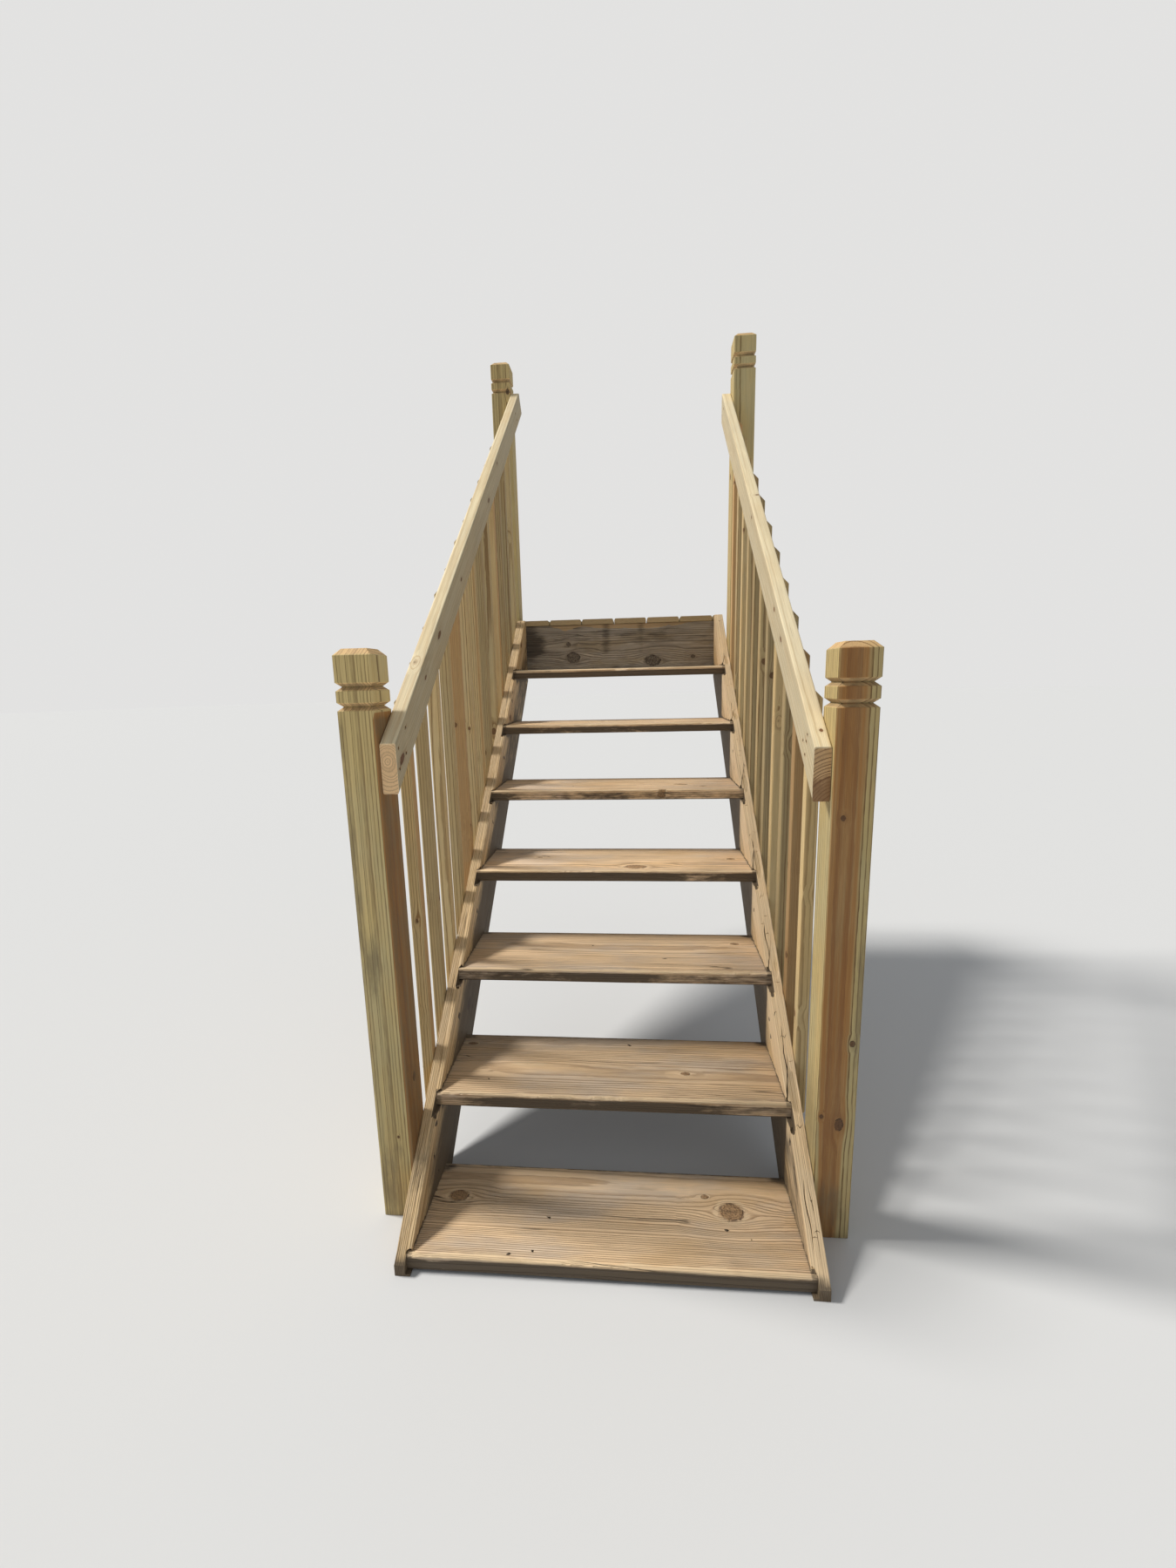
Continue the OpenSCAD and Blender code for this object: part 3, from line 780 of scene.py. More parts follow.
def buildTread(i, look):
    low, high = treadBoxes[i]
    length, width, thick = (b - a for a, b in zip(low, high))
    middleY, nose = (low.y + high.y) / 2, look.get("nose", 0.0)
    place = boardFrame(middleOf(low, high, x=low.x), (1, 0, 0), (0, 1, 0), (0, 0, 1))
    knots = [(x, (y, 0), (0.12 * (-1) ** k, 0.15, 1), radius, stretch)
             for k, (x, y, radius, stretch) in enumerate(look["knots"])]
    knots += [(x, (y, 0), (0, 0.1, 1), radius, stretch, 1.25)
              for x, y, radius, stretch in look.get("figures", [])]

    def edgeWear(x):
        p = np.stack([x, np.zeros_like(x), np.full_like(x, 3.1 * i)], -1)
        broad = ramp(noise(p, (6, 1, 1), 5 + i), -0.1, 0.7)
        jag = layeredNoise(p, (45, 1, 1), 3, 9 + i)
        return treadLook["roundDeep"] * (1 + 0.4 * jag) + treadLook["chipDeep"] * broad * ramp(jag, -0.5, 0.4)

    def shape(points, normals):
        x, y, z = points[..., 0], points[..., 1], points[..., 2]
        fibre = layeredNoise(points, (4, 110, 110), 3, 31 + i)
        slow = noise(points, (4, 9, 30), 51 + i)
        inward = treadLook["grainDeep"] * (1 + fibre) + treadLook["slowDeep"] * (1 + slow)
        top = normals[..., 2] > 0.5
        hollow = np.clip(np.sin(np.pi * x / length), 0, 1) * (0.6 + 0.4 * np.cos(y / width * 3))
        inward = inward + top * treadLook["cup"] * hollow
        for knotX, knotY, radius, stretch in look["knots"]:
            # Hard knots wear less than the wood round them
            reach = np.hypot((x - knotX) / stretch, y - knotY) / radius
            inward = inward - top * 0.9 * inward * np.exp(-reach ** 4)
        deep = edgeWear(x) + nose
        u, v = roundedArris(y + width / 2, thick / 2 - z, 2.2 * deep, deep)
        return np.stack([x, u - width / 2, thick / 2 - v], -1) - normals * inward[..., None]

    def cuts(obj):
        paths = [[(low.x + x, middleY + y, high.z - 0.0016) for x, y in path] for path in look["checks"]]
        carve(obj, [split("check", path, (0, 0, 1), treadLook["checkWide"], treadLook["checkDeep"], 7 * i + k,
                          0.0016, 0.0032) for k, path in enumerate(paths)])

    def wear(local):
        u, v = local[:, 1] + width / 2, thick / 2 - local[:, 2]
        rag = layeredNoise(local, (30, 60, 60), 2, 77 + i)
        return np.clip(1.25 - np.hypot(u / 2.5, v) / (0.007 + 0.004 * rag + nose), 0, 1)

    def stain(local):
        x, u, v = local[:, 0], local[:, 1] + width / 2, thick / 2 - local[:, 2]
        back, side = width - u, np.minimum(x, length - x) - stairSize["housing"]
        probe = np.stack([x, np.full_like(x, 5.5 * i), 0 * x], -1)
        # The front face is darkened by dirt and by painted shade
        amount = look["front"] + 0.28 * noise(probe, (5.5, 1, 1), 81 + i)
        for centre, reach, more in look["blots"]:
            amount = amount + more * np.exp(-((x - centre) / reach) ** 2)
        return most((u < 0.004) * np.clip((v - 0.005 - nose) / 0.005, 0, 1) * amount,
                    treadLook["bottomDirt"] * (v > thick - 0.003),
                    treadLook["backDirt"] * np.clip(1 - back / 0.012, 0, 1),
                    treadLook["cornerDirt"] * np.clip(1.5 - np.hypot(side / 0.045, back / 0.03), 0, 1),
                    treadLook["sideDirt"] * np.clip(1 - side / 0.006, 0, 1))

    holes = [((low.x + x, middleY + y, high.z - 0.001), (0, 0, -1), treadLook["nailRadius"],
              treadLook["nailDeep"]) for x, y in look["holes"]]
    board(f"treadBoard{i}", f"tread_{i}", "weathered_tread_wood", place, (length, width, thick),
          treadLook["mesh"], treadLook["stations"], shape, cuts=cuts, holes=holes, pith=look["pith"],
          knots=knots, seed=i, wear=wear, stain=stain, tone=look["tone"])


for i, look in treads.items():
    buildTread(i, look)
print("treads built")


# Stringers: sloping boards with plumb and level cuts, housings, splits along the housed edge
stringerLook = {"wave": 0.0008, "grainDeep": 0.00035, "lead": 0.10, "length": 2.72,
                "foot": 0.05, "footDirt": 0.9, "splitDirt": 1.8, "housingDirt": 1.2, "underDirt": 0.85,
                "outerDirt": 0.35, "backDirt": 0.8,
                "crackWide": 1.4, "crossWide": 0.0019, "crossDeep": 0.005,
                "nailRadius": 0.0034, "edgeNailRadius": 0.0032, "nailDeep": 0.012,
                "mesh": {"radius": 0.001, "step": 0.012, "fine": 0.0012, "band": 0.005, "sideStep": 0.0025},
                "stations": (0.009, 0.002, 0.004)}
# Of each side: size of the chips and how many splinters, how bleached, dirt and painted shade of the inner
# face (near the edge, further in, less so higher up, where it starts), knots, nail holes in the inner face
# as (y, z) from the first tread's front top edge and in the front edge as (up the slope, across), cracks
# across the edge, how far each lip over a tread has split off, and splits as paths of (up the slope, across
# from the inner face) with their width and depth
stringers = {
    -1: {
        "seed": 21, "chip": 0.01, "splinters": 1, "bleach": 0.42, "tone": 0.0,
        "dirt": (0.3, 0.9, 0.35, 0.02), "lowEdge": 0.4, "sheltered": 0, "lowGrey": 0, "pale": 0,
        "knots": [(0.72, (-0.02, 0), (0.1, 0.1, 1), 0.014, 1.4),
                  (1.9, (0.07, 0), (0.1, 0.1, 1), 0.011, 1.3), (2.35, (0.1, 0), (0.1, 0.1, 1), 0.009, 1.3)],
        "nails": [(0.217, 0.166), (0.185, 0.098), (0.208, 0.035), (0.455, 0.335), (0.47, 0.27),
                  (0.71, 0.56), (0.985, 0.8), (1.451, 1.274), (1.436, 1.236), (1.22, 1.01)],
        "edgeNails": [(2.381, 0.019), (2.413, 0.021)], "crossCracks": 0, "tongues": {},
        "splits": [([(0.03, 0.0125), (0.12, 0.0135), (0.24, 0.012)], 0.0016, 0.01),
                   ([(0.1, 0.025), (0.18, 0.026), (0.27, 0.024)], 0.001, 0.006),
                   ([(0.37, 0.0125), (0.46, 0.014)], 0.0013, 0.007),
                   ([(0.56, 0.021), (0.64, 0.023), (0.7, 0.022)], 0.001, 0.006),
                   ([(0.715, 0.0125), (0.78, 0.0135)], 0.0013, 0.007),
                   ([(1.06, 0.0125), (1.12, 0.0135)], 0.0013, 0.007),
                   ([(1.25, 0.028), (1.36, 0.026)], 0.001, 0.006),
                   ([(1.4, 0.0125), (1.46, 0.013)], 0.0012, 0.007)]},
    1: {
        "seed": 22, "chip": 0.017, "splinters": 2, "bleach": 0.74, "tone": 0.5,
        "dirt": (0.0, 0.85, 0.2, 0.1), "lowEdge": 0.0, "sheltered": 0.9, "lowGrey": 0.5, "pale": 0.72,
        "knots": [(1.62, (0.06, 0), (0.1, 0.05, 1), 0.012, 1.4),
                  (0.95, (-0.03, 0), (0.1, -0.1, 1), 0.01, 1.4)],
        "nails": [(0.22, 0.152), (0.173, 0.119), (0.27, -0.015), (0.48, 0.33), (0.455, 0.29),
                  (0.735, 0.565), (1.21, 1.03)], "edgeNails": [(2.372, 0.019)], "crossCracks": 3,
        "tongues": {2: 1.0, 3: 0.8, 4: 1.1, 5: 0.8, 6: 0.55, 7: 0.7},
        "splits": [([(0.035, 0.0125), (0.09, 0.014), (0.15, 0.0105), (0.19, 0.013)], 0.003, 0.014),
                   ([(0.0, 0.024), (0.1, 0.026), (0.17, 0.022), (0.26, 0.024)], 0.0014, 0.009),
                   ([(0.372, 0.0125), (0.42, 0.014), (0.47, 0.012), (0.5, 0.017), (0.545, 0.016)], 0.0032,
                    0.014), ([(0.5, 0.006), (0.512, 0.014), (0.505, 0.022), (0.522, 0.03)], 0.0016, 0.006),
                   ([(0.29, 0.012), (0.297, 0.019), (0.288, 0.025), (0.3, 0.033)], 0.0018, 0.006),
                   ([(0.56, 0.002), (0.575, 0.007), (0.57, 0.012)], 0.002, 0.006),
                   ([(0.715, 0.0125), (0.76, 0.013), (0.8, 0.01), (0.86, 0.0135)], 0.0034, 0.015),
                   ([(0.805, 0.012), (0.812, 0.018), (0.806, 0.024)], 0.0022, 0.006),
                   ([(0.64, 0.02), (0.7, 0.026), (0.78, 0.025)], 0.0012, 0.007),
                   ([(1.055, 0.0125), (1.1, 0.0145), (1.17, 0.012)], 0.0026, 0.012),
                   ([(1.16, 0.004), (1.172, 0.012), (1.166, 0.02)], 0.0014, 0.005),
                   ([(0.925, 0.008), (0.94, 0.016), (0.935, 0.022), (0.95, 0.028)], 0.0015, 0.005),
                   ([(1.398, 0.0125), (1.44, 0.013), (1.5, 0.011)], 0.0022, 0.011),
                   ([(1.53, 0.022), (1.62, 0.027), (1.7, 0.024)], 0.0012, 0.007),
                   ([(1.742, 0.0125), (1.8, 0.015), (1.84, 0.013)], 0.0018, 0.01),
                   ([(2.09, 0.0125), (2.15, 0.014)], 0.0016, 0.009)]},
}
noseStart = Vector((0, firstTread[0].y + stairSize["noseOut"], firstTread[1].z))
upSlope = Vector((0, math.cos(slopeAngle), math.sin(slopeAngle)))
outSlope = Vector((0, -math.sin(slopeAngle), math.cos(slopeAngle)))


def slopePoint(x, along, below=0.0):
    # A point on the stringer's front edge line, so far up the slope and so far below the edge
    return Vector((x, 0, 0)) + noseStart + upSlope * along - outSlope * below


def buildStringer(side, look):
    cadNode, seed = f"stringer_{sides[side]}", look["seed"]
    low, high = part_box(cadNode)
    depth, thick = stairSize["stringerDepth"], high.x - low.x
    start = slopePoint((low.x + high.x) / 2, -stringerLook["lead"], depth / 2)
    place = boardFrame(start, upSlope, outSlope, (1, 0, 0))

    def shape(points, normals):
        fibre = layeredNoise(points, (4, 70, 90), 3, seed)
        slow = noise(points, (7, 20, 40), seed + 5)
        inward = stringerLook["grainDeep"] * (1 + fibre) + stringerLook["wave"] * 0.5 * (1 + slow)
        face = np.sign(points[..., 2:])
        rag = layeredNoise(points * np.array([1, 0, 0]) + face * 3.0, (30, 1, 1), 3, seed + 9)
        r = 0.0016 + 0.0012 * np.clip(rag + 0.4, 0, 2) + 0.003 * ramp(rag, 0.35, 0.8)
        u, v = roundedArris(thick / 2 - np.abs(points[..., 2]), depth / 2 - points[..., 1], r, r)
        out = np.stack([points[..., 0], depth / 2 - v, face[..., 0] * (thick / 2 - u)], -1)
        return out - normals * inward[..., None]

    def cuts(obj):
        ends = [(low.y, groundZ), (rimLow.y, groundZ), (rimLow.y, high.z), (low.y, high.z)]
        carve(obj, [prism("ends", ends, low.x - 0.01, high.x + 0.01)], "INTERSECT")
        x0, x1 = sorted((side * (halfWidth - 0.004), side * (halfWidth + stairSize["housing"])))
        carve(obj, [roughBox(f"housing{i}", (x0, tLow.y - 0.06, tLow.z - 0.0006),
                             (x1, tHigh.y + 0.0005, tHigh.z + 0.0008), 0.004, 0.0005, seed + i)
                    for i, (tLow, tHigh) in treadBoxes.items()])
        carve(obj, lipChips(side, look))
        carve(obj, edgeSplits(side, look))

    def stain(local):
        # Dirt and painted shade on the inner face behind the front edge and under the treads, and darkening
        # at the foot
        world = toWorld(place, local)
        x, y, z, v = local[:, 0], world[:, 1], world[:, 2], depth / 2 - local[:, 1]
        inward = side * local[:, 2] + thick / 2
        inside = inward < 0.0065
        near, far, less, begin = look["dirt"]
        nearest = np.full(len(local), rimLow.y)
        for tLow, _ in reversed(treadBoxes.values()):
            nearest = np.where(z < tLow.z, tLow.y, nearest)
        # Wood behind the nose of the tread above is darker: painted shade, with dirt where it is sheltered;
        # and the lowest part greyer
        # Further in from the edge the inner face is darker: dirt and painted shade
        front = near + (far - near) * ramp(v, begin, begin + 0.1)
        dirt = most(inside * front * (1 - less * ramp(x, 1.0, 2.2)),
                    inside * look["sheltered"] * ramp(y - nearest, -0.004, 0.012),
                    inside * look["lowGrey"] * (1 - ramp(x, 0.36, 0.44)) * ramp(v, 0.0, 0.02),
                    (v < 0.004) * look["lowEdge"] * (1 - ramp(x, 0.2, 0.7)))
        # Under each tread the inner face is darker: painted shade, with dirt
        for tLow, tHigh in treadBoxes.values():
            under = (tLow.z - z) / 0.05
            shade = stringerLook["underDirt"] * np.clip(1 - under, 0, 1)
            dirt = most(dirt, inside * (under > -0.1) * shade * (y > tLow.y + 0.012))
            housed = (z > tLow.z - 0.001) & (z < tHigh.z + 0.001) & (inward < 0.0125)
            dirt = np.where(housed, stringerLook["housingDirt"], dirt)
        dirt = most(dirt, (inward > thick - 0.004) * stringerLook["outerDirt"],
                    (v > depth - 0.004) * stringerLook["backDirt"])
        # The walls of the splits are painted dark: painted shade in the cracks
        buried = (np.abs(local[:, 2]) < thick / 2 - 0.002) & (v > 0.0045) & (v < 0.03) & (y > low.y + 0.01)
        buried &= (y < rimLow.y - 0.02) & (z > groundZ + 0.005) & (z < high.z - 0.01)
        foot = most(np.clip(1.3 - (z - groundZ) / stringerLook["foot"], 0, 1), y < low.y + 0.002)
        return most(np.where(buried, stringerLook["splitDirt"], dirt), foot * stringerLook["footDirt"])

    def wear(local):
        v = depth / 2 - local[:, 1]
        rag = layeredNoise(local, (14, 60, 60), 2, seed + 30)
        edge = np.clip(1.6 - v / (0.003 + 0.002 * rag), 0, 1) * look["bleach"]
        # Near the front edge the inner face is painted paler: painted sunlight
        inside = (side * local[:, 2] + thick / 2 < 0.003) * (1 - ramp(v, 0.05, 0.15))
        return most(edge, look["pale"] * inside)

    board(f"stringerBoard{sides[side].capitalize()}", cadNode, "old_stringer_wood", place,
          (stringerLook["length"], depth, thick), stringerLook["mesh"], stringerLook["stations"], shape,
          cuts=cuts, holes=stringerHoles(side, look), pith=(0.085, -0.07 * side), knots=look["knots"],
          seed=seed, wear=wear, stain=stain, tone=look["tone"])


def stringerHoles(side, look):
    deep = stringerLook["nailDeep"]
    holes = [((side * (halfWidth - 0.0005), firstTread[0].y + y, firstTread[1].z + z), (side, 0, 0),
              stringerLook["nailRadius"], deep) for y, z in look["nails"]]
    return holes + [(slopePoint(side * (halfWidth + across), along, 0.001), -outSlope,
                     stringerLook["edgeNailRadius"], deep) for along, across in look["edgeNails"]]


def lipChips(side, look):
    # Broken corners where a housing leaves the stringer's front edge
    chips, seed, random = [], look["seed"], np.random.default_rng(look["seed"])
    axes = (upSlope, outSlope, (1, 0, 0))
    for i, (tLow, tHigh) in treadBoxes.items():
        for z, lift, scale in ((tHigh.z, 1, 1.3), (tLow.z, -1, 0.7)):
            along = (z - noseStart.z) / math.sin(slopeAngle) + lift * random.uniform(0.0, 0.004)
            across = side * halfWidth + side * random.uniform(0.002, 0.009)
            centre = slopePoint(across, along, random.uniform(-0.001, 0.004))
            size = (random.uniform(0.5, 1.0) * look["chip"] * scale, random.uniform(0.004, 0.008),
                    random.uniform(0.004, 0.009))
            chips.append(roughBlob(f"chip{i}", centre, axes, size, seed + i))
        for k in range(look["splinters"]):
            # Splinters gone from the inner arris
            along = (tHigh.z - noseStart.z) / math.sin(slopeAngle) + random.uniform(0.04, 0.3)
            size = (random.uniform(0.008, 0.03), random.uniform(0.002, 0.0035), random.uniform(0.0015, 0.003))
            centre = slopePoint(side * halfWidth, along)
            chips.append(roughBlob(f"splinter{i}", centre, axes, size, seed + i + k))
    return chips


def edgeSplits(side, look):
    seed, random = look["seed"], np.random.default_rng(look["seed"] + 90)

    def crack(name, path, width, depth, more, wander, flare=False):
        points = [slopePoint(side * (halfWidth + across), along, 0.001) for along, across in path]
        return split(name, points, outSlope, width, depth, seed + more, wander, 0.0028, flare)

    splits = [crack("split", path, width * stringerLook["crackWide"], depth, k, 0.003)
              for k, (path, width, depth) in enumerate(look["splits"])]
    for k in range(stairSize["treads"] * look["crossCracks"]):
        along = (k // look["crossCracks"] + random.uniform(0.15, 0.95)) * treadPitch
        limits = ((0.008, 0.03), (0.004, 0.009), (-0.006, 0.006))
        across, reach, bend = (random.uniform(*pair) for pair in limits)
        path = [(along + bend, across - reach), (along, across), (along + bend, across + reach)]
        path = [(p, min(max(q, 0.001), 0.036)) for p, q in path]
        splits.append(crack("cross", path, stringerLook["crossWide"], stringerLook["crossDeep"], 100 + k,
                            0.002))
    # Where the lip over a tread has split off along the grain: a slanting crack and a hollow beside it
    for i, amount in look["tongues"].items():
        start = (i - 1) * treadPitch
        path = [(start + 0.006, 0.004), (start + 0.045 * amount, 0.010), (start + 0.09 * amount, 0.017),
                (start + 0.15 * amount, 0.027)]
        splits.append(crack("tongue", path, 0.0065 * amount, 0.011, 50 + i, 0.0025, True))
        centre = slopePoint(halfWidth + 0.023, start + 0.03, -0.0005)
        axes, size = (upSlope, (1, 0, 0), outSlope), (0.06 * amount, 0.013, 0.0042)
        splits.append(roughBlob("hollow", centre, axes, size, seed + 70 + i))
    return splits


for side, look in stringers.items():
    buildStringer(side, look)
print("stringers built")


# Rim board and the ends of the deck boards on it. Dark runs as (place along the board, half width, length,
# amount), and how far down the pale torn edge reaches as (place along the board, depth)
rimLook = {
    "grain": 0.0009, "lowTone": 0.9, "mesh": {"radius": 0.002, "step": 0.003, "sideStep": 0.008},
    "stations": (0.006, 0.002, 0.004),
    "knots": [(0.244, (0.023, 0), (0.1, 0.1, 1), 0.01, 1.1),
              (0.266, (-0.036, 0), (0.1, -0.1, 1), 0.025, 1.3),
              (0.657, (-0.064, 0), (0.1, 0.1, 1), 0.024, 1.6),
              (0.852, (-0.05, 0), (0.1, 0.1, 1), 0.008, 1.3)],
    "runs": [(0.435, 0.034, 0.16, 0.52), (0.07, 0.08, 0.16, 0.48), (0.6, 0.028, 0.17, 0.42),
             (0.8, 0.035, 0.12, 0.3)],
    "torn": [(0.142, 0), (0.2, 0.018), (0.223, 0.029), (0.245, 0.027), (0.312, 0.009), (0.41, 0.02),
             (0.631, 0.026), (0.72, 0.02), (0.735, 0.012), (0.755, 0.018), (0.835, 0.005), (0.877, 0)],
}
deckLook = {"wide": 0.154, "gap": 0.004, "seed": 5,
            "mesh": {"radius": 0.003, "step": 0.003, "cornerSteps": 4}, "stations": (0.012, 0.0015, 0.004)}


def buildRim():
    length, width, thick = rimHigh.x - rimLow.x, rimHigh.z - rimLow.z, rimHigh.y - rimLow.y
    place = boardFrame(middleOf(rimLow, rimHigh, x=rimLow.x), (1, 0, 0), (0, 0, 1), (0, -1, 0))

    def shape(points, normals):
        fibre = layeredNoise(points, (4, 80, 60), 3, 91)
        return points - normals * (rimLook["grain"] * 0.5 * (1 + fibre))[..., None]

    def wear(local):
        # The torn upper edge shows paler wood
        line = np.interp(local[:, 0], *zip(*rimLook["torn"]))
        line = line * (1 + 0.25 * layeredNoise(local * np.array([1, 0, 0]), (40, 1, 1), 3, 92))
        down = width / 2 - local[:, 1]
        return np.clip((line - down) / 0.002, 0, 1) * (local[:, 2] > thick / 2 - 0.004)

    def stain(local):
        edge = np.minimum(local[:, 0] - 0.035, length - 0.035 - local[:, 0])
        blot = noise(local + 2.2, (7, 9, 9), 93)
        runs = np.zeros(len(local))
        for x, aside, reach, amount in rimLook["runs"]:
            # Dark runs from the upper edge downwards
            fade = np.clip((local[:, 1] - width / 2 + reach) / 0.03, 0, 1)
            runs = most(runs, amount * np.exp(-((local[:, 0] - x) / aside) ** 2) * fade)
        return np.clip(0.3 * np.clip(1 - edge / 0.06, 0, 1) + 0.35 * blot + runs, 0, 1)

    def tone(local):
        # The lower part of the board is lighter: painted light
        return rimLook["lowTone"] * ramp(-local[:, 1], 0.02, 0.09)

    board("rimBoardOld", "rim_board", "dark_rim_wood", place, (length, width, thick), rimLook["mesh"],
          rimLook["stations"], shape, pith=(0.01, -0.07), knots=rimLook["knots"], seed=41, wear=wear,
          stain=stain, tone=tone)


def buildDeck():
    thick, depth = deckHigh.z - deckLow.z, deckHigh.y - deckLow.y
    random = np.random.default_rng(deckLook["seed"])
    parts, x = [], deckLow.x
    while x < deckHigh.x - 0.001:
        k, width = len(parts), min(deckLook["wide"], deckHigh.x - x)
        origin = middleOf(deckLow, deckHigh, x=x + width / 2, y=deckLow.y)
        place = boardFrame(origin, (0, 1, 0), (-1, 0, 0), (0, 0, 1))

        def shape(points, normals):
            # The upper corners are well rounded, the lower ones hardly
            fibre = layeredNoise(points + k, (6, 60, 60), 3, 95)
            rise = np.clip((points[..., 2] + 0.002) / (thick / 2 + 0.002), 0, 1)
            ones = np.ones_like(rise)
            narrowed = points * np.stack([ones, 1 - 0.075 * rise ** 2.5, ones], -1)
            return narrowed - normals * (0.0003 * (1 + fibre))[..., None]

        size = (depth, width, thick)
        part = plainBoard(f"deck{k}", place, size, deckLook["mesh"], deckLook["stations"], shape)
        for side in sides:
            # Notched round the stringers' top ends
            near, far = sorted((side * halfWidth, side * (sideOut + 0.002)))
            if near < x + width and far > x:
                y0, z0, z1 = deckLow.y - 0.002, deckLow.z - 0.002, deckHigh.z + 0.002
                carve(part, [prism("notch", [(y0, z0), (rimLow.y, z0), (rimLow.y, z1), (y0, z1)], near, far)])
        pith = (random.uniform(-0.02, 0.02), -random.uniform(0.03, 0.07))
        grainData(part, place, pith, [], 60 + k, tone=random.uniform(-0.5, 0.3))
        parts.append(part)
        x += deckLook["wide"] + deckLook["gap"]
    finishPiece(joined(parts, "deckBoardEnds"), "new_deck_wood", "deck_board_ends")


buildRim()
buildDeck()
print("rim and deck built")


# Posts with a chamfered cap and two grooves
postLook = {"cap": 0.015, "block": 0.059, "groove": 0.019, "deep": 0.011, "ring": 0.025,
            "grainDeep": 0.0002, "coarse": 0.02, "fine": 0.0035,
            "grooveDirt": 0.6, "footDirt": 0.55, "innerDirt": 0.5, "innerTone": -1.0}
# Of each post: pith across the post, how far the heartwood reaches and how much more at the foot, tone and
# how much more higher up, knots, and smudges (height, across, reach up, reach across, amount)
posts = {
    "lower_post_left": {
        "pith": (-0.16, 0.02), "tone": 0.25, "seed": 101,
        "knots": [(0.367, (0.0, -0.003), (0.1, 1, 0.1), 0.008, 1.5),
                  (1.02, (0, 0), (0.1, -0.2, 1), 0.008, 1.3),
                  (0.219, (0.006, 0), (0.3, 0.1, -1), 0.003, 1.3)],
        "smudges": [(0.93, -0.045, 0.3, 0.022, 0.75), (0.7, -0.02, 0.13, 0.035, 0.62),
                    (0.42, -0.05, 0.2, 0.02, 0.6), (1.25, -0.045, 0.1, 0.02, 0.6),
                    (0.2, 0.01, 0.05, 0.02, 0.5), (0.1, -0.02, 0.16, 0.04, 0.6)], "high": 0.6},
    "lower_post_right": {
        "pith": (-0.012, -0.078), "heart": 0.0465, "heartLow": -0.0055, "tone": -0.3, "seed": 102,
        "knots": [(0.309, (-0.004, 0), (0.1, 0.25, -1), 0.0095, 1.7),
                  (0.329, (-0.025, 0), (0.1, -0.2, -1), 0.0045, 1.2),
                  (0.519, (0.023, 0), (0.1, 0.1, -1), 0.0065, 1.2),
                  (1.05, (-0.015, 0), (0.1, -0.1, -1), 0.005, 1.2)],
        "smudges": [(0.1, 0.0, 0.12, 0.05, 0.55), (1.3, 0.02, 0.06, 0.04, 0.4),
                    (0.6, 0.038, 0.45, 0.013, 0.62), (1.1, 0.042, 0.15, 0.01, 0.5)]},
    "upper_post_left": {
        "pith": (0.09, 0.1), "tone": 0.0, "seed": 103,
        "knots": [(1.305, (0.024, 0), (0.1, 0.2, -1), 0.008, 1.6)], "smudges": []},
    "upper_post_right": {
        "pith": (0.02, 0.11), "tone": 0.0, "seed": 104,
        "knots": [(0.9, (0, 0), (0.1, -1, 0.1), 0.009, 1.3)], "smudges": []},
}


def buildPost(name, look):
    low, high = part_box(name)
    length, size = high.z - low.z, high.x - low.x
    half, lower, p = size / 2, name.startswith("lower"), postLook
    place = boardFrame(middleOf(low, high, z=low.z), (0, 0, 1), (1, 0, 0), (0, 1, 0))
    # Heights where the outline turns, each with how far the faces lie in there
    top = length - p["cap"]
    upper = top - p["block"]
    under = upper - p["groove"] - p["ring"]
    marks = [(0, 0.0012), (0.0012, 0)]
    for height in (under, upper):
        marks += [(height - p["groove"], 0), (height - p["groove"] / 2, p["deep"]), (height, 0)]
    marks += [(top, 0), (length, p["cap"])]
    stations = [0.0]
    for (a, _), (b, _) in zip(marks, marks[1:]):
        count = max(1, int(round((b - a) / (p["coarse"] if b - a > 0.1 else p["fine"]))))
        stations += [a + (b - a) * k / count for k in range(1, count + 1)]
    points, normals = sectionGrid(stations, *outline(size, size, 0.003, 0.006, cornerSteps=4))
    points[..., 1:] *= (1 - np.interp(stations, *zip(*marks)) / half)[:, None, None]
    fine = layeredNoise(points, (30, 140, 140), 2, look["seed"] + 1)
    slow = noise(points, (5, 30, 30), look["seed"]) + 0.5 * fine
    points = points - normals * (p["grainDeep"] * (1.5 + slow))[..., None]
    verts, faces = loft(points, capSteps=(0.8, 0.5, 0.2))
    obj = meshFrom(pieceName(name), toWorld(place, verts), faces)

    def innerFace(local):
        # The inner face of the lower left post, up to the grooves: all heartwood, and darker there as painted
        # shade
        inner = (local[:, 1] > half - 0.004) & (local[:, 0] < under - p["groove"] - 0.001)
        return inner & (name == "lower_post_left")

    def stain(local):
        # The inner face of the lower left post is darkened as painted shade
        dirt = p["innerDirt"] * innerFace(local)
        for x, y, up, aside, amount in look["smudges"]:
            reach = np.hypot((local[:, 0] - x) / up, (local[:, 1] - y) / aside)
            dirt = most(dirt, (local[:, 2] < 0) * amount * np.exp(-reach ** 2))
        # The grooves are darkened: painted shade in them
        inGroove = (np.interp(local[:, 0], *zip(*marks[:-1])) > 0.0015) & (local[:, 0] > 0.1)
        return most(dirt, p["grooveDirt"] * inGroove,
                    p["footDirt"] * lower * np.clip(1 - local[:, 0] / 0.05, 0, 1))

    def tone(local):
        even = look["tone"] + look.get("high", 0) * ramp(local[:, 0], 0.35, 0.75)
        # The inner face of the lower left post is darker still: painted shade
        return np.where(innerFace(local), p["innerTone"], even)

    def heartEdge(local):
        even = look.get("heart", 0) + look.get("heartLow", 0) * ramp(-local[:, 0], -0.5, 0)
        return np.where(innerFace(local), 1.0, even)

    grainData(obj, place, look["pith"], look["knots"], look["seed"], tone=tone, stain=stain,
              heartEdge=heartEdge)
    finishPiece(obj, "new_post_wood", name)


for name, look in posts.items():
    buildPost(name, look)
print("posts built")
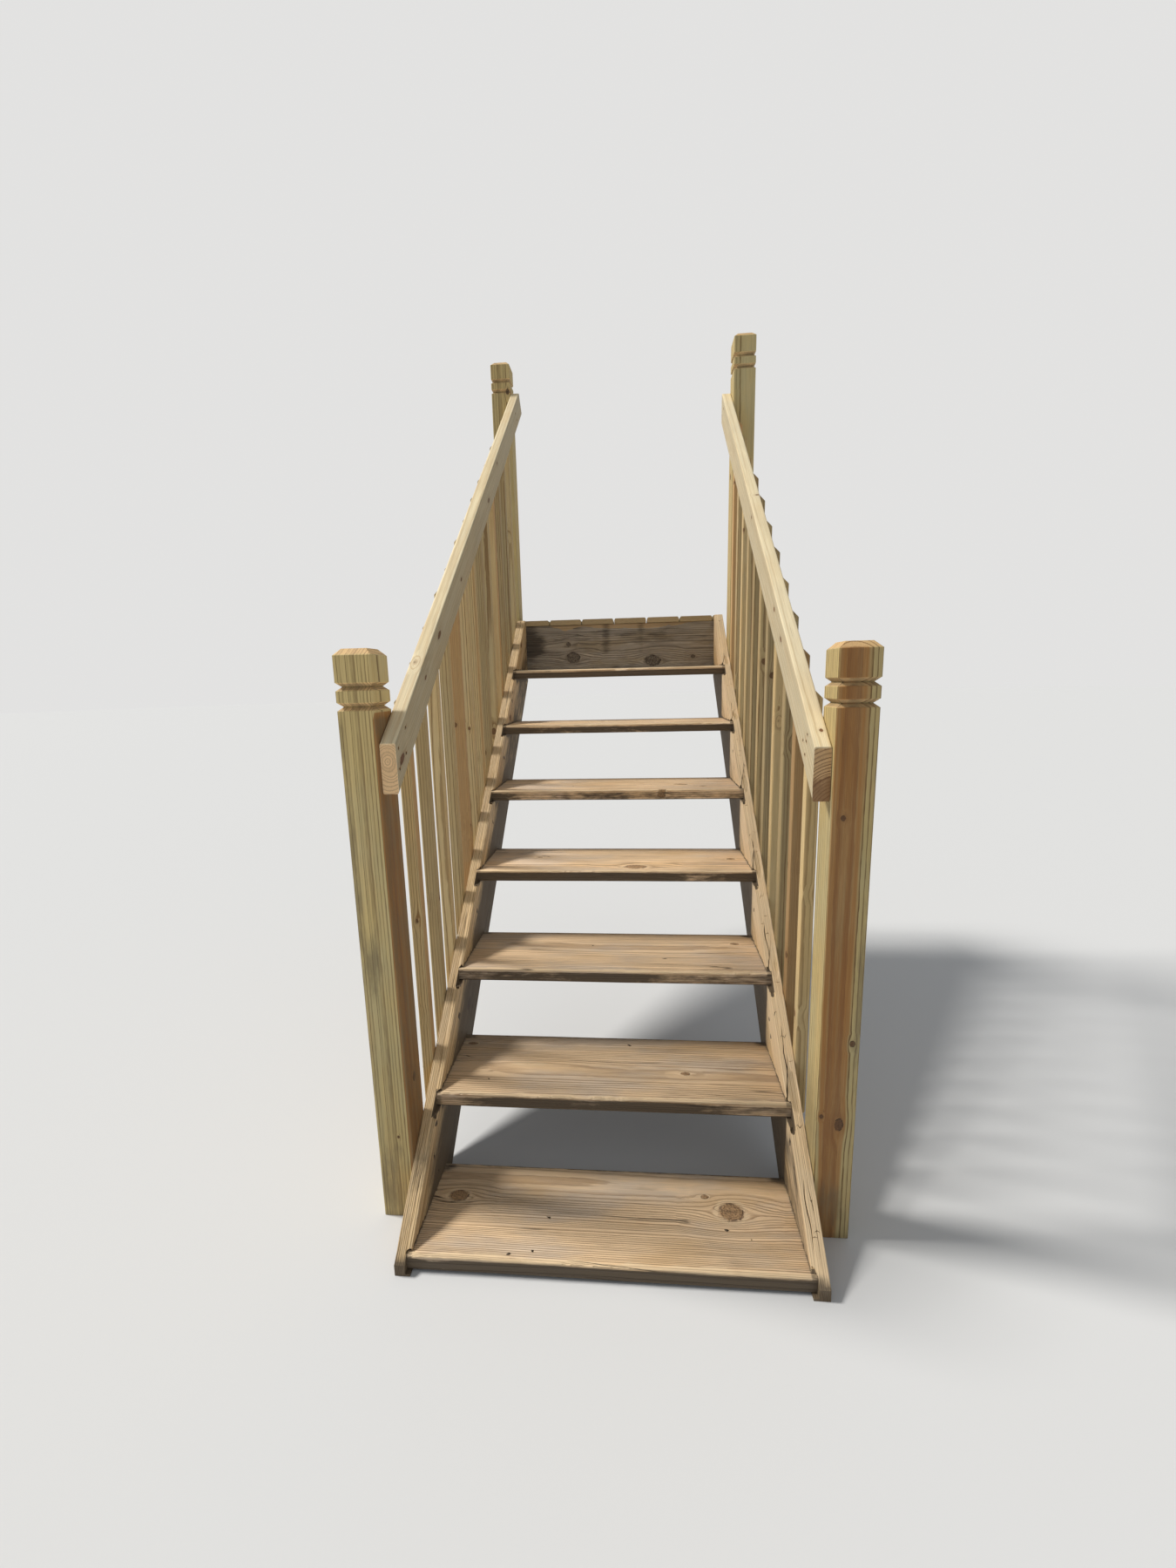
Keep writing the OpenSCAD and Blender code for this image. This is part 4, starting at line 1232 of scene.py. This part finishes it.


# Handrails: boards on edge, plumb cut below. Of each rail: its upper edge's ends as (y, z), whether the top
# is plumb too, stain and wear of the lower end, pith, tone of the faces, of the inner face (darker: painted
# shade) and of that end, and knots and nail holes as (distance from the lower end, across)
railLook = {"nailRadius": 0.004, "nailDeep": 0.009, "grainDeep": 0.0003,
            "mesh": {"radius": 0.004, "step": 0.007}, "stations": (0.014, 0.001, 0.003)}
rails = {
    -1: {
        "top": ((-1.732, -0.28147), (0.02, 1.1909)), "plumbTop": False, "endStain": 0, "endWear": 0.8,
        "pith": (0.011, -0.002), "tone": 1.45, "innerTone": -1.15, "endTone": 0.9, "seed": 111,
        "knots": [(-0.002, (-0.0127, 0), (0.1, 0.3, 1), 0.008, 2.2),
                  (0.264, (0.0058, 0), (0.1, 0.3, 1), 0.0038, 2.4),
                  (0.439, (0.012, 0), (0.1, 0.2, 1), 0.0068, 2.6),
                  (0.286, (0.02, -0.008), (0.1, 1, 0.2), 0.01, 1.1, 1.04),
                  (0.747, (-0.0045, 0), (0.1, 0.2, 1), 0.0042, 2.4),
                  (1.296, (-0.0105, 0), (0.1, 0.2, 1), 0.006, 2.6),
                  (1.55, (0.02, 0), (0.1, 0.2, 1), 0.005, 1.6)],
        "holes": [(0.071, 0.0243), (0.005, 0.0227), (0.027, -0.0163), (-0.026, -0.012), (2.12, 0.015),
                  (2.14, -0.02)]},
    1: {
        "top": ((-1.722, -0.304562), (-0.21, 1.036063)), "plumbTop": True, "endStain": 0.75, "endWear": 0,
        "pith": (-0.075, 0.03), "tone": 1.6, "innerTone": -0.45, "endTone": 0.3, "seed": 112,
        "knots": [(0.528, (0.014, 0), (0.1, 0.1, -1), 0.005, 1.8),
                  (0.408, (0.007, 0), (0.1, 0.1, -1), 0.005, 2.2),
                  (1.1195, (0.03, 0.0075), (0.1, 1, 0.2), 0.007, 0.5),
                  (1.014, (0.021, 0), (0.1, 0.1, -1), 0.004, 1.6),
                  (1.62, (-0.01, 0), (0.1, 0.1, 1), 0.008, 1.3),
                  (0.045, (0, 0.003), (0.1, 1, 0.05), 0.004, 1.2)],
        "holes": [(0.055, 0.024), (0.05, 0.008), (0.035, -0.02), (0.07, -0.01), (1.93, 0.02),
                  (1.95, -0.015)]},
}


def buildRail(side, look):
    name = f"handrail_{sides[side]}"
    low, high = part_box(name)
    (y0, z0), (y1, z1) = look["top"]
    angle, length = math.atan2(z1 - z0, y1 - y0), math.hypot(y1 - y0, z1 - z0)
    width, thick, plumb = stairSize["railDepth"], high.x - low.x, math.tan(angle)
    along = Vector((0, math.cos(angle), math.sin(angle)))
    across = Vector((0, -math.sin(angle), math.cos(angle)))
    corner = Vector(((low.x + high.x) / 2, y0, z0))
    place = boardFrame(corner - across * width / 2, along, across, (1, 0, 0))

    def start(section):
        return (section[:, 0] - width / 2) * plumb

    def end(section):
        return length + start(section) if look["plumbTop"] else np.full(len(section), length)

    def shape(points, normals):
        fine = layeredNoise(points, (20, 100, 100), 2, look["seed"] + 1)
        slow = noise(points, (3, 20, 20), look["seed"]) + 0.4 * fine
        return points - normals * (railLook["grainDeep"] * (1.4 + slow))[..., None]

    def plumbEnd(local):
        return local[:, 0] - start(local[:, 1:]) < 0.0015

    def stain(local):
        # A rough lower end is darker towards its bottom
        return plumbEnd(local) * look["endStain"] * (1 - ramp(local[:, 1], -0.03, 0.03))

    def wear(local):
        return plumbEnd(local) * look["endWear"]

    def tone(local):
        # The inner face is darker than the other faces: painted shade
        inner = -side * local[:, 2] > thick / 2 - 0.002
        return np.where(plumbEnd(local), look["endTone"], np.where(inner, look["innerTone"], look["tone"]))

    holes = [(place @ Vector((x, y, -side * (thick / 2 - 0.0003))), (side, 0, 0), railLook["nailRadius"],
              railLook["nailDeep"]) for x, y in look["holes"]]
    board(pieceName(name), name, "new_rail_wood", place, (length, width, thick), railLook["mesh"],
          railLook["stations"], shape, start=start, end=end, holes=holes, pith=look["pith"],
          knots=look["knots"], seed=look["seed"], wear=wear, stain=stain, tone=tone)


for side, look in rails.items():
    buildRail(side, look)
print("rails built")


# Balusters: square sticks, mitred towards the rail and stringer
balusterLook = {"toneSpread": 1.2, "knotChance": 0.5, "knotSize": (0.004, 0.0095), "heartChance": 0.35,
                "grainDeep": 0.0003, "mesh": {"radius": 0.004, "step": 0.008},
                "stations": (0.018, 0.001, 0.002),
                # how far the long edge of the upper end lies below the rail's top edge
                "drop": {-1: (0.037, 0.047), 1: (0.040, 0.049)}}


def buildBaluster(name, k):
    low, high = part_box(name)
    side, size, seed = (1 if low.x > 0 else -1), high.x - low.x, 200 + k
    random = np.random.default_rng(seed)
    length = high.z - low.z - random.uniform(*balusterLook["drop"][side])
    place = boardFrame(middleOf(low, high, z=low.z), (0, 0, 1), (1, 0, 0), (0, 1, 0))

    def shape(points, normals):
        slow = noise(points + 5.0 * k, (3, 10, 10), 150 + k)
        return points - normals * (balusterLook["grainDeep"] * (1.2 + slow))[..., None]

    def mitre(section):
        return side * section[:, 0] + size / 2

    knots = []
    x = random.uniform(0.08, 0.4)
    while x < length - 0.05:
        if random.random() < balusterLook["knotChance"]:
            angle = random.uniform(0, 2 * math.pi)
            knots.append((x, (random.uniform(-0.004, 0.004), random.uniform(-0.004, 0.004)),
                          (0.15, math.cos(angle), math.sin(angle)), random.uniform(*balusterLook["knotSize"]),
                          random.uniform(1.1, 1.6)))
        x += random.uniform(0.25, 0.6)
    board(pieceName(name), name, "new_baluster_wood", place, (length, size, size), balusterLook["mesh"],
          balusterLook["stations"], shape, start=mitre, end=lambda section: length - mitre(section),
          pith=(random.uniform(-0.06, 0.06), random.choice((-1, 1)) * random.uniform(0.02, 0.07)),
          knots=knots, seed=seed, tone=random.uniform(-1, 1) * balusterLook["toneSpread"],
          heartEdge=random.uniform(0.03, 0.075) if random.random() < balusterLook["heartChance"] else 0.0)


balusterNames = sorted(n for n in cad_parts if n.startswith("baluster"))
for k, name in enumerate(balusterNames):
    buildBaluster(name, k)
print("balusters built")


# Screws: two heads at each end of every baluster, and two in the left stringer's outer arris
screwLook = {"head": 0.0041, "recess": 0.0021, "deep": 0.0015, "lobes": 0.16, "above": 0.0002, "seed": 77,
             "apart": 0.030, "aside": 0.007, "loose": (0.0012, 0.0015), "below": 0.055,
             "margin": (0.022, 0.068), "arris": (0.466, 0.790), "arrisOut": 0.0335,
             "plating": (0.50, 0.46, 0.36), "spots": (0.26, 0.21, 0.15)}
screwMetal, tree = emptyMaterial("screwMetal")
position = node(tree, "NewGeometry").outputs["Position"]
spots = smooth(grainNoise(position, (900.0, 900.0, 900.0), 3.0), 0.5, 0.7)
plating = blend(spots, screwLook["plating"], screwLook["spots"])
worn = smooth(grainNoise(position, (2400.0, 2400.0, 2400.0)), 0.3, 0.7, 0.3, 0.55)
shader = node(tree, "BsdfPrincipled", {"Base Color": plating, "Metallic": 0.9, "Roughness": worn})
node(tree, "OutputMaterial", {"Surface": shader.outputs[0]})


def screwMesh(point, outward, turn):
    # A countersunk head with a six-lobed recess, and the start of its shank
    head, recess = screwLook["head"], screwLook["recess"]
    profile = [(-0.0080, 0.0016, 0), (-0.0030, 0.0020, 0), (-0.0006, head * 0.96, 0), (-0.0002, head, 0),
               (0.0, head * 0.95, 0), (0.0001, recess * 1.12, 1), (-0.0002, recess, 1),
               (-screwLook["deep"], recess * 0.86, 1)]
    angles = np.linspace(0, 2 * math.pi, 24, endpoint=False)
    lobes = 1 + screwLook["lobes"] * np.cos(6 * angles)
    return closedShape("screw", roundRings(point, outward, profile, angles + turn, lobes))


def buildScrews(side, random):
    (y0, z0), (y1, z1) = rails[side]["top"]
    railDrop = stairSize["railDepth"] / 2 / math.cos(math.atan2(z1 - z0, y1 - y0))
    parts = []
    for name in balusterNames:
        if sides[side] not in name:
            continue
        low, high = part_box(name)
        size, y = high.x - low.x, (low.y + high.y) / 2
        x = (high.x if side > 0 else low.x) + side * screwLook["above"]
        railMiddle = z0 + (y - y0) * (z1 - z0) / (y1 - y0) - railDrop
        edgeMiddle = noseStart.z + (y - noseStart.y) * math.tan(slopeAngle) - screwLook["below"]
        for middle, way in ((railMiddle, 1), (edgeMiddle, -1)):
            lowest, highest = (size + gap for gap in screwLook["margin"])
            middle = min(max(middle, low.z + lowest), high.z - highest)
            for k in (-0.5, 0.5):
                point = (x, y + way * k * 2 * screwLook["aside"] + random.normal(0, screwLook["loose"][0]),
                         middle + k * screwLook["apart"] + random.normal(0, screwLook["loose"][1]))
                parts.append(screwMesh(point, (side, 0, 0), random.uniform(0, 2)))
    if side < 0:
        parts += [screwMesh(slopePoint(-(halfWidth + screwLook["arrisOut"]), along, 0.0002), outSlope, 0.4)
                  for along in screwLook["arris"]]
    obj = joined(parts, f"balusterScrews{sides[side].capitalize()}")
    obj.data.materials.append(screwMetal)
    shadeSmooth(obj, 35)
    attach(obj, "root")


screwRandom = np.random.default_rng(screwLook["seed"])
for side in sides:
    buildScrews(side, screwRandom)
print("screws built")


# Camera, fitted to the photo
cameraLook = {"place": (0.0786, -3.0049, -0.1544), "yaw": 0.0831, "pitch": 0.1732, "roll": -0.0238,
              "lens": 13.52}
camera = bpy.data.objects.new("camera", bpy.data.cameras.new("camera"))
scene.collection.objects.link(camera)
scene.camera = camera
pitch, roll = cameraLook["pitch"], cameraLook["roll"]
turn = Matrix.Rotation(cameraLook["yaw"], 3, "Z")
forward = turn @ Vector((0, math.cos(pitch), -math.sin(pitch)))
right = turn @ Vector((1, 0, 0))
up = right.cross(forward)
right, up = math.cos(roll) * right + math.sin(roll) * up, -math.sin(roll) * right + math.cos(roll) * up
axes = Matrix((right, up, -forward)).transposed().to_4x4()
camera.matrix_world = Matrix.Translation(cameraLook["place"]) @ axes
camera.data.lens, camera.data.sensor_width, camera.data.sensor_fit = cameraLook["lens"], 36.0, "AUTO"
camera.data.clip_start, camera.data.clip_end = 0.05, 200.0

# A sun-like soft key from the left, an even sky, and a floor and backdrop of one pale tone
lightLook = {"floor": (0.70, 0.71, 0.72), "floorRadius": 60, "floorCorners": 128, "sky": (0.94, 0.97, 1.0),
             "skyLevel": 0.34, "backdrop": (1.0, 0.995, 0.985), "backdropLevel": 0.765, "keyLevel": 3.2,
             "keyColour": (1.0, 0.965, 0.91), "keySoftness": 12.0, "keyFrom": (-0.66, 0.06, 0.75)}
floorMaterial, tree = emptyMaterial("paleFloor")
floorInputs = {"Base Color": (*lightLook["floor"], 1), "Roughness": 0.95, "Specular IOR Level": 0.1}
shader = node(tree, "BsdfPrincipled", floorInputs)
node(tree, "OutputMaterial", {"Surface": shader.outputs[0]})
corners, radius = range(lightLook["floorCorners"]), lightLook["floorRadius"]
angles = [2 * math.pi * k / len(corners) for k in corners]
edge = [(radius * math.cos(a), radius * math.sin(a), groundZ) for a in angles]
floor = meshFrom("floor", edge, [list(corners)])
floor.data.materials.append(floorMaterial)

world = bpy.data.worlds.new("studio")
world.use_nodes = True
scene.world = world
tree = world.node_tree
tree.nodes.clear()
path = node(tree, "LightPath").outputs
bent = calc("MAXIMUM", path["Is Glossy Ray"], path["Is Transmission Ray"])
inputs = {0: calc("MAXIMUM", path["Is Camera Ray"], bent)}
for k, label in enumerate(("sky", "backdrop"), 1):
    colour = (*lightLook[label], 1)
    inputs[k] = node(tree, "Background", {"Color": colour, "Strength": lightLook[label + "Level"]}).outputs[0]
mixed = node(tree, "MixShader", inputs).outputs[0]
node(tree, "OutputWorld", {"Surface": mixed})

keyData = bpy.data.lights.new("keyLight", "SUN")
keyData.energy, keyData.color = lightLook["keyLevel"], lightLook["keyColour"]
keyData.angle = math.radians(lightLook["keySoftness"])
keyLight = bpy.data.objects.new("keyLight", keyData)
scene.collection.objects.link(keyLight)
keyLight.rotation_euler = Vector(lightLook["keyFrom"]).to_track_quat("Z", "Y").to_euler()
scene.view_settings.view_transform = "Standard"
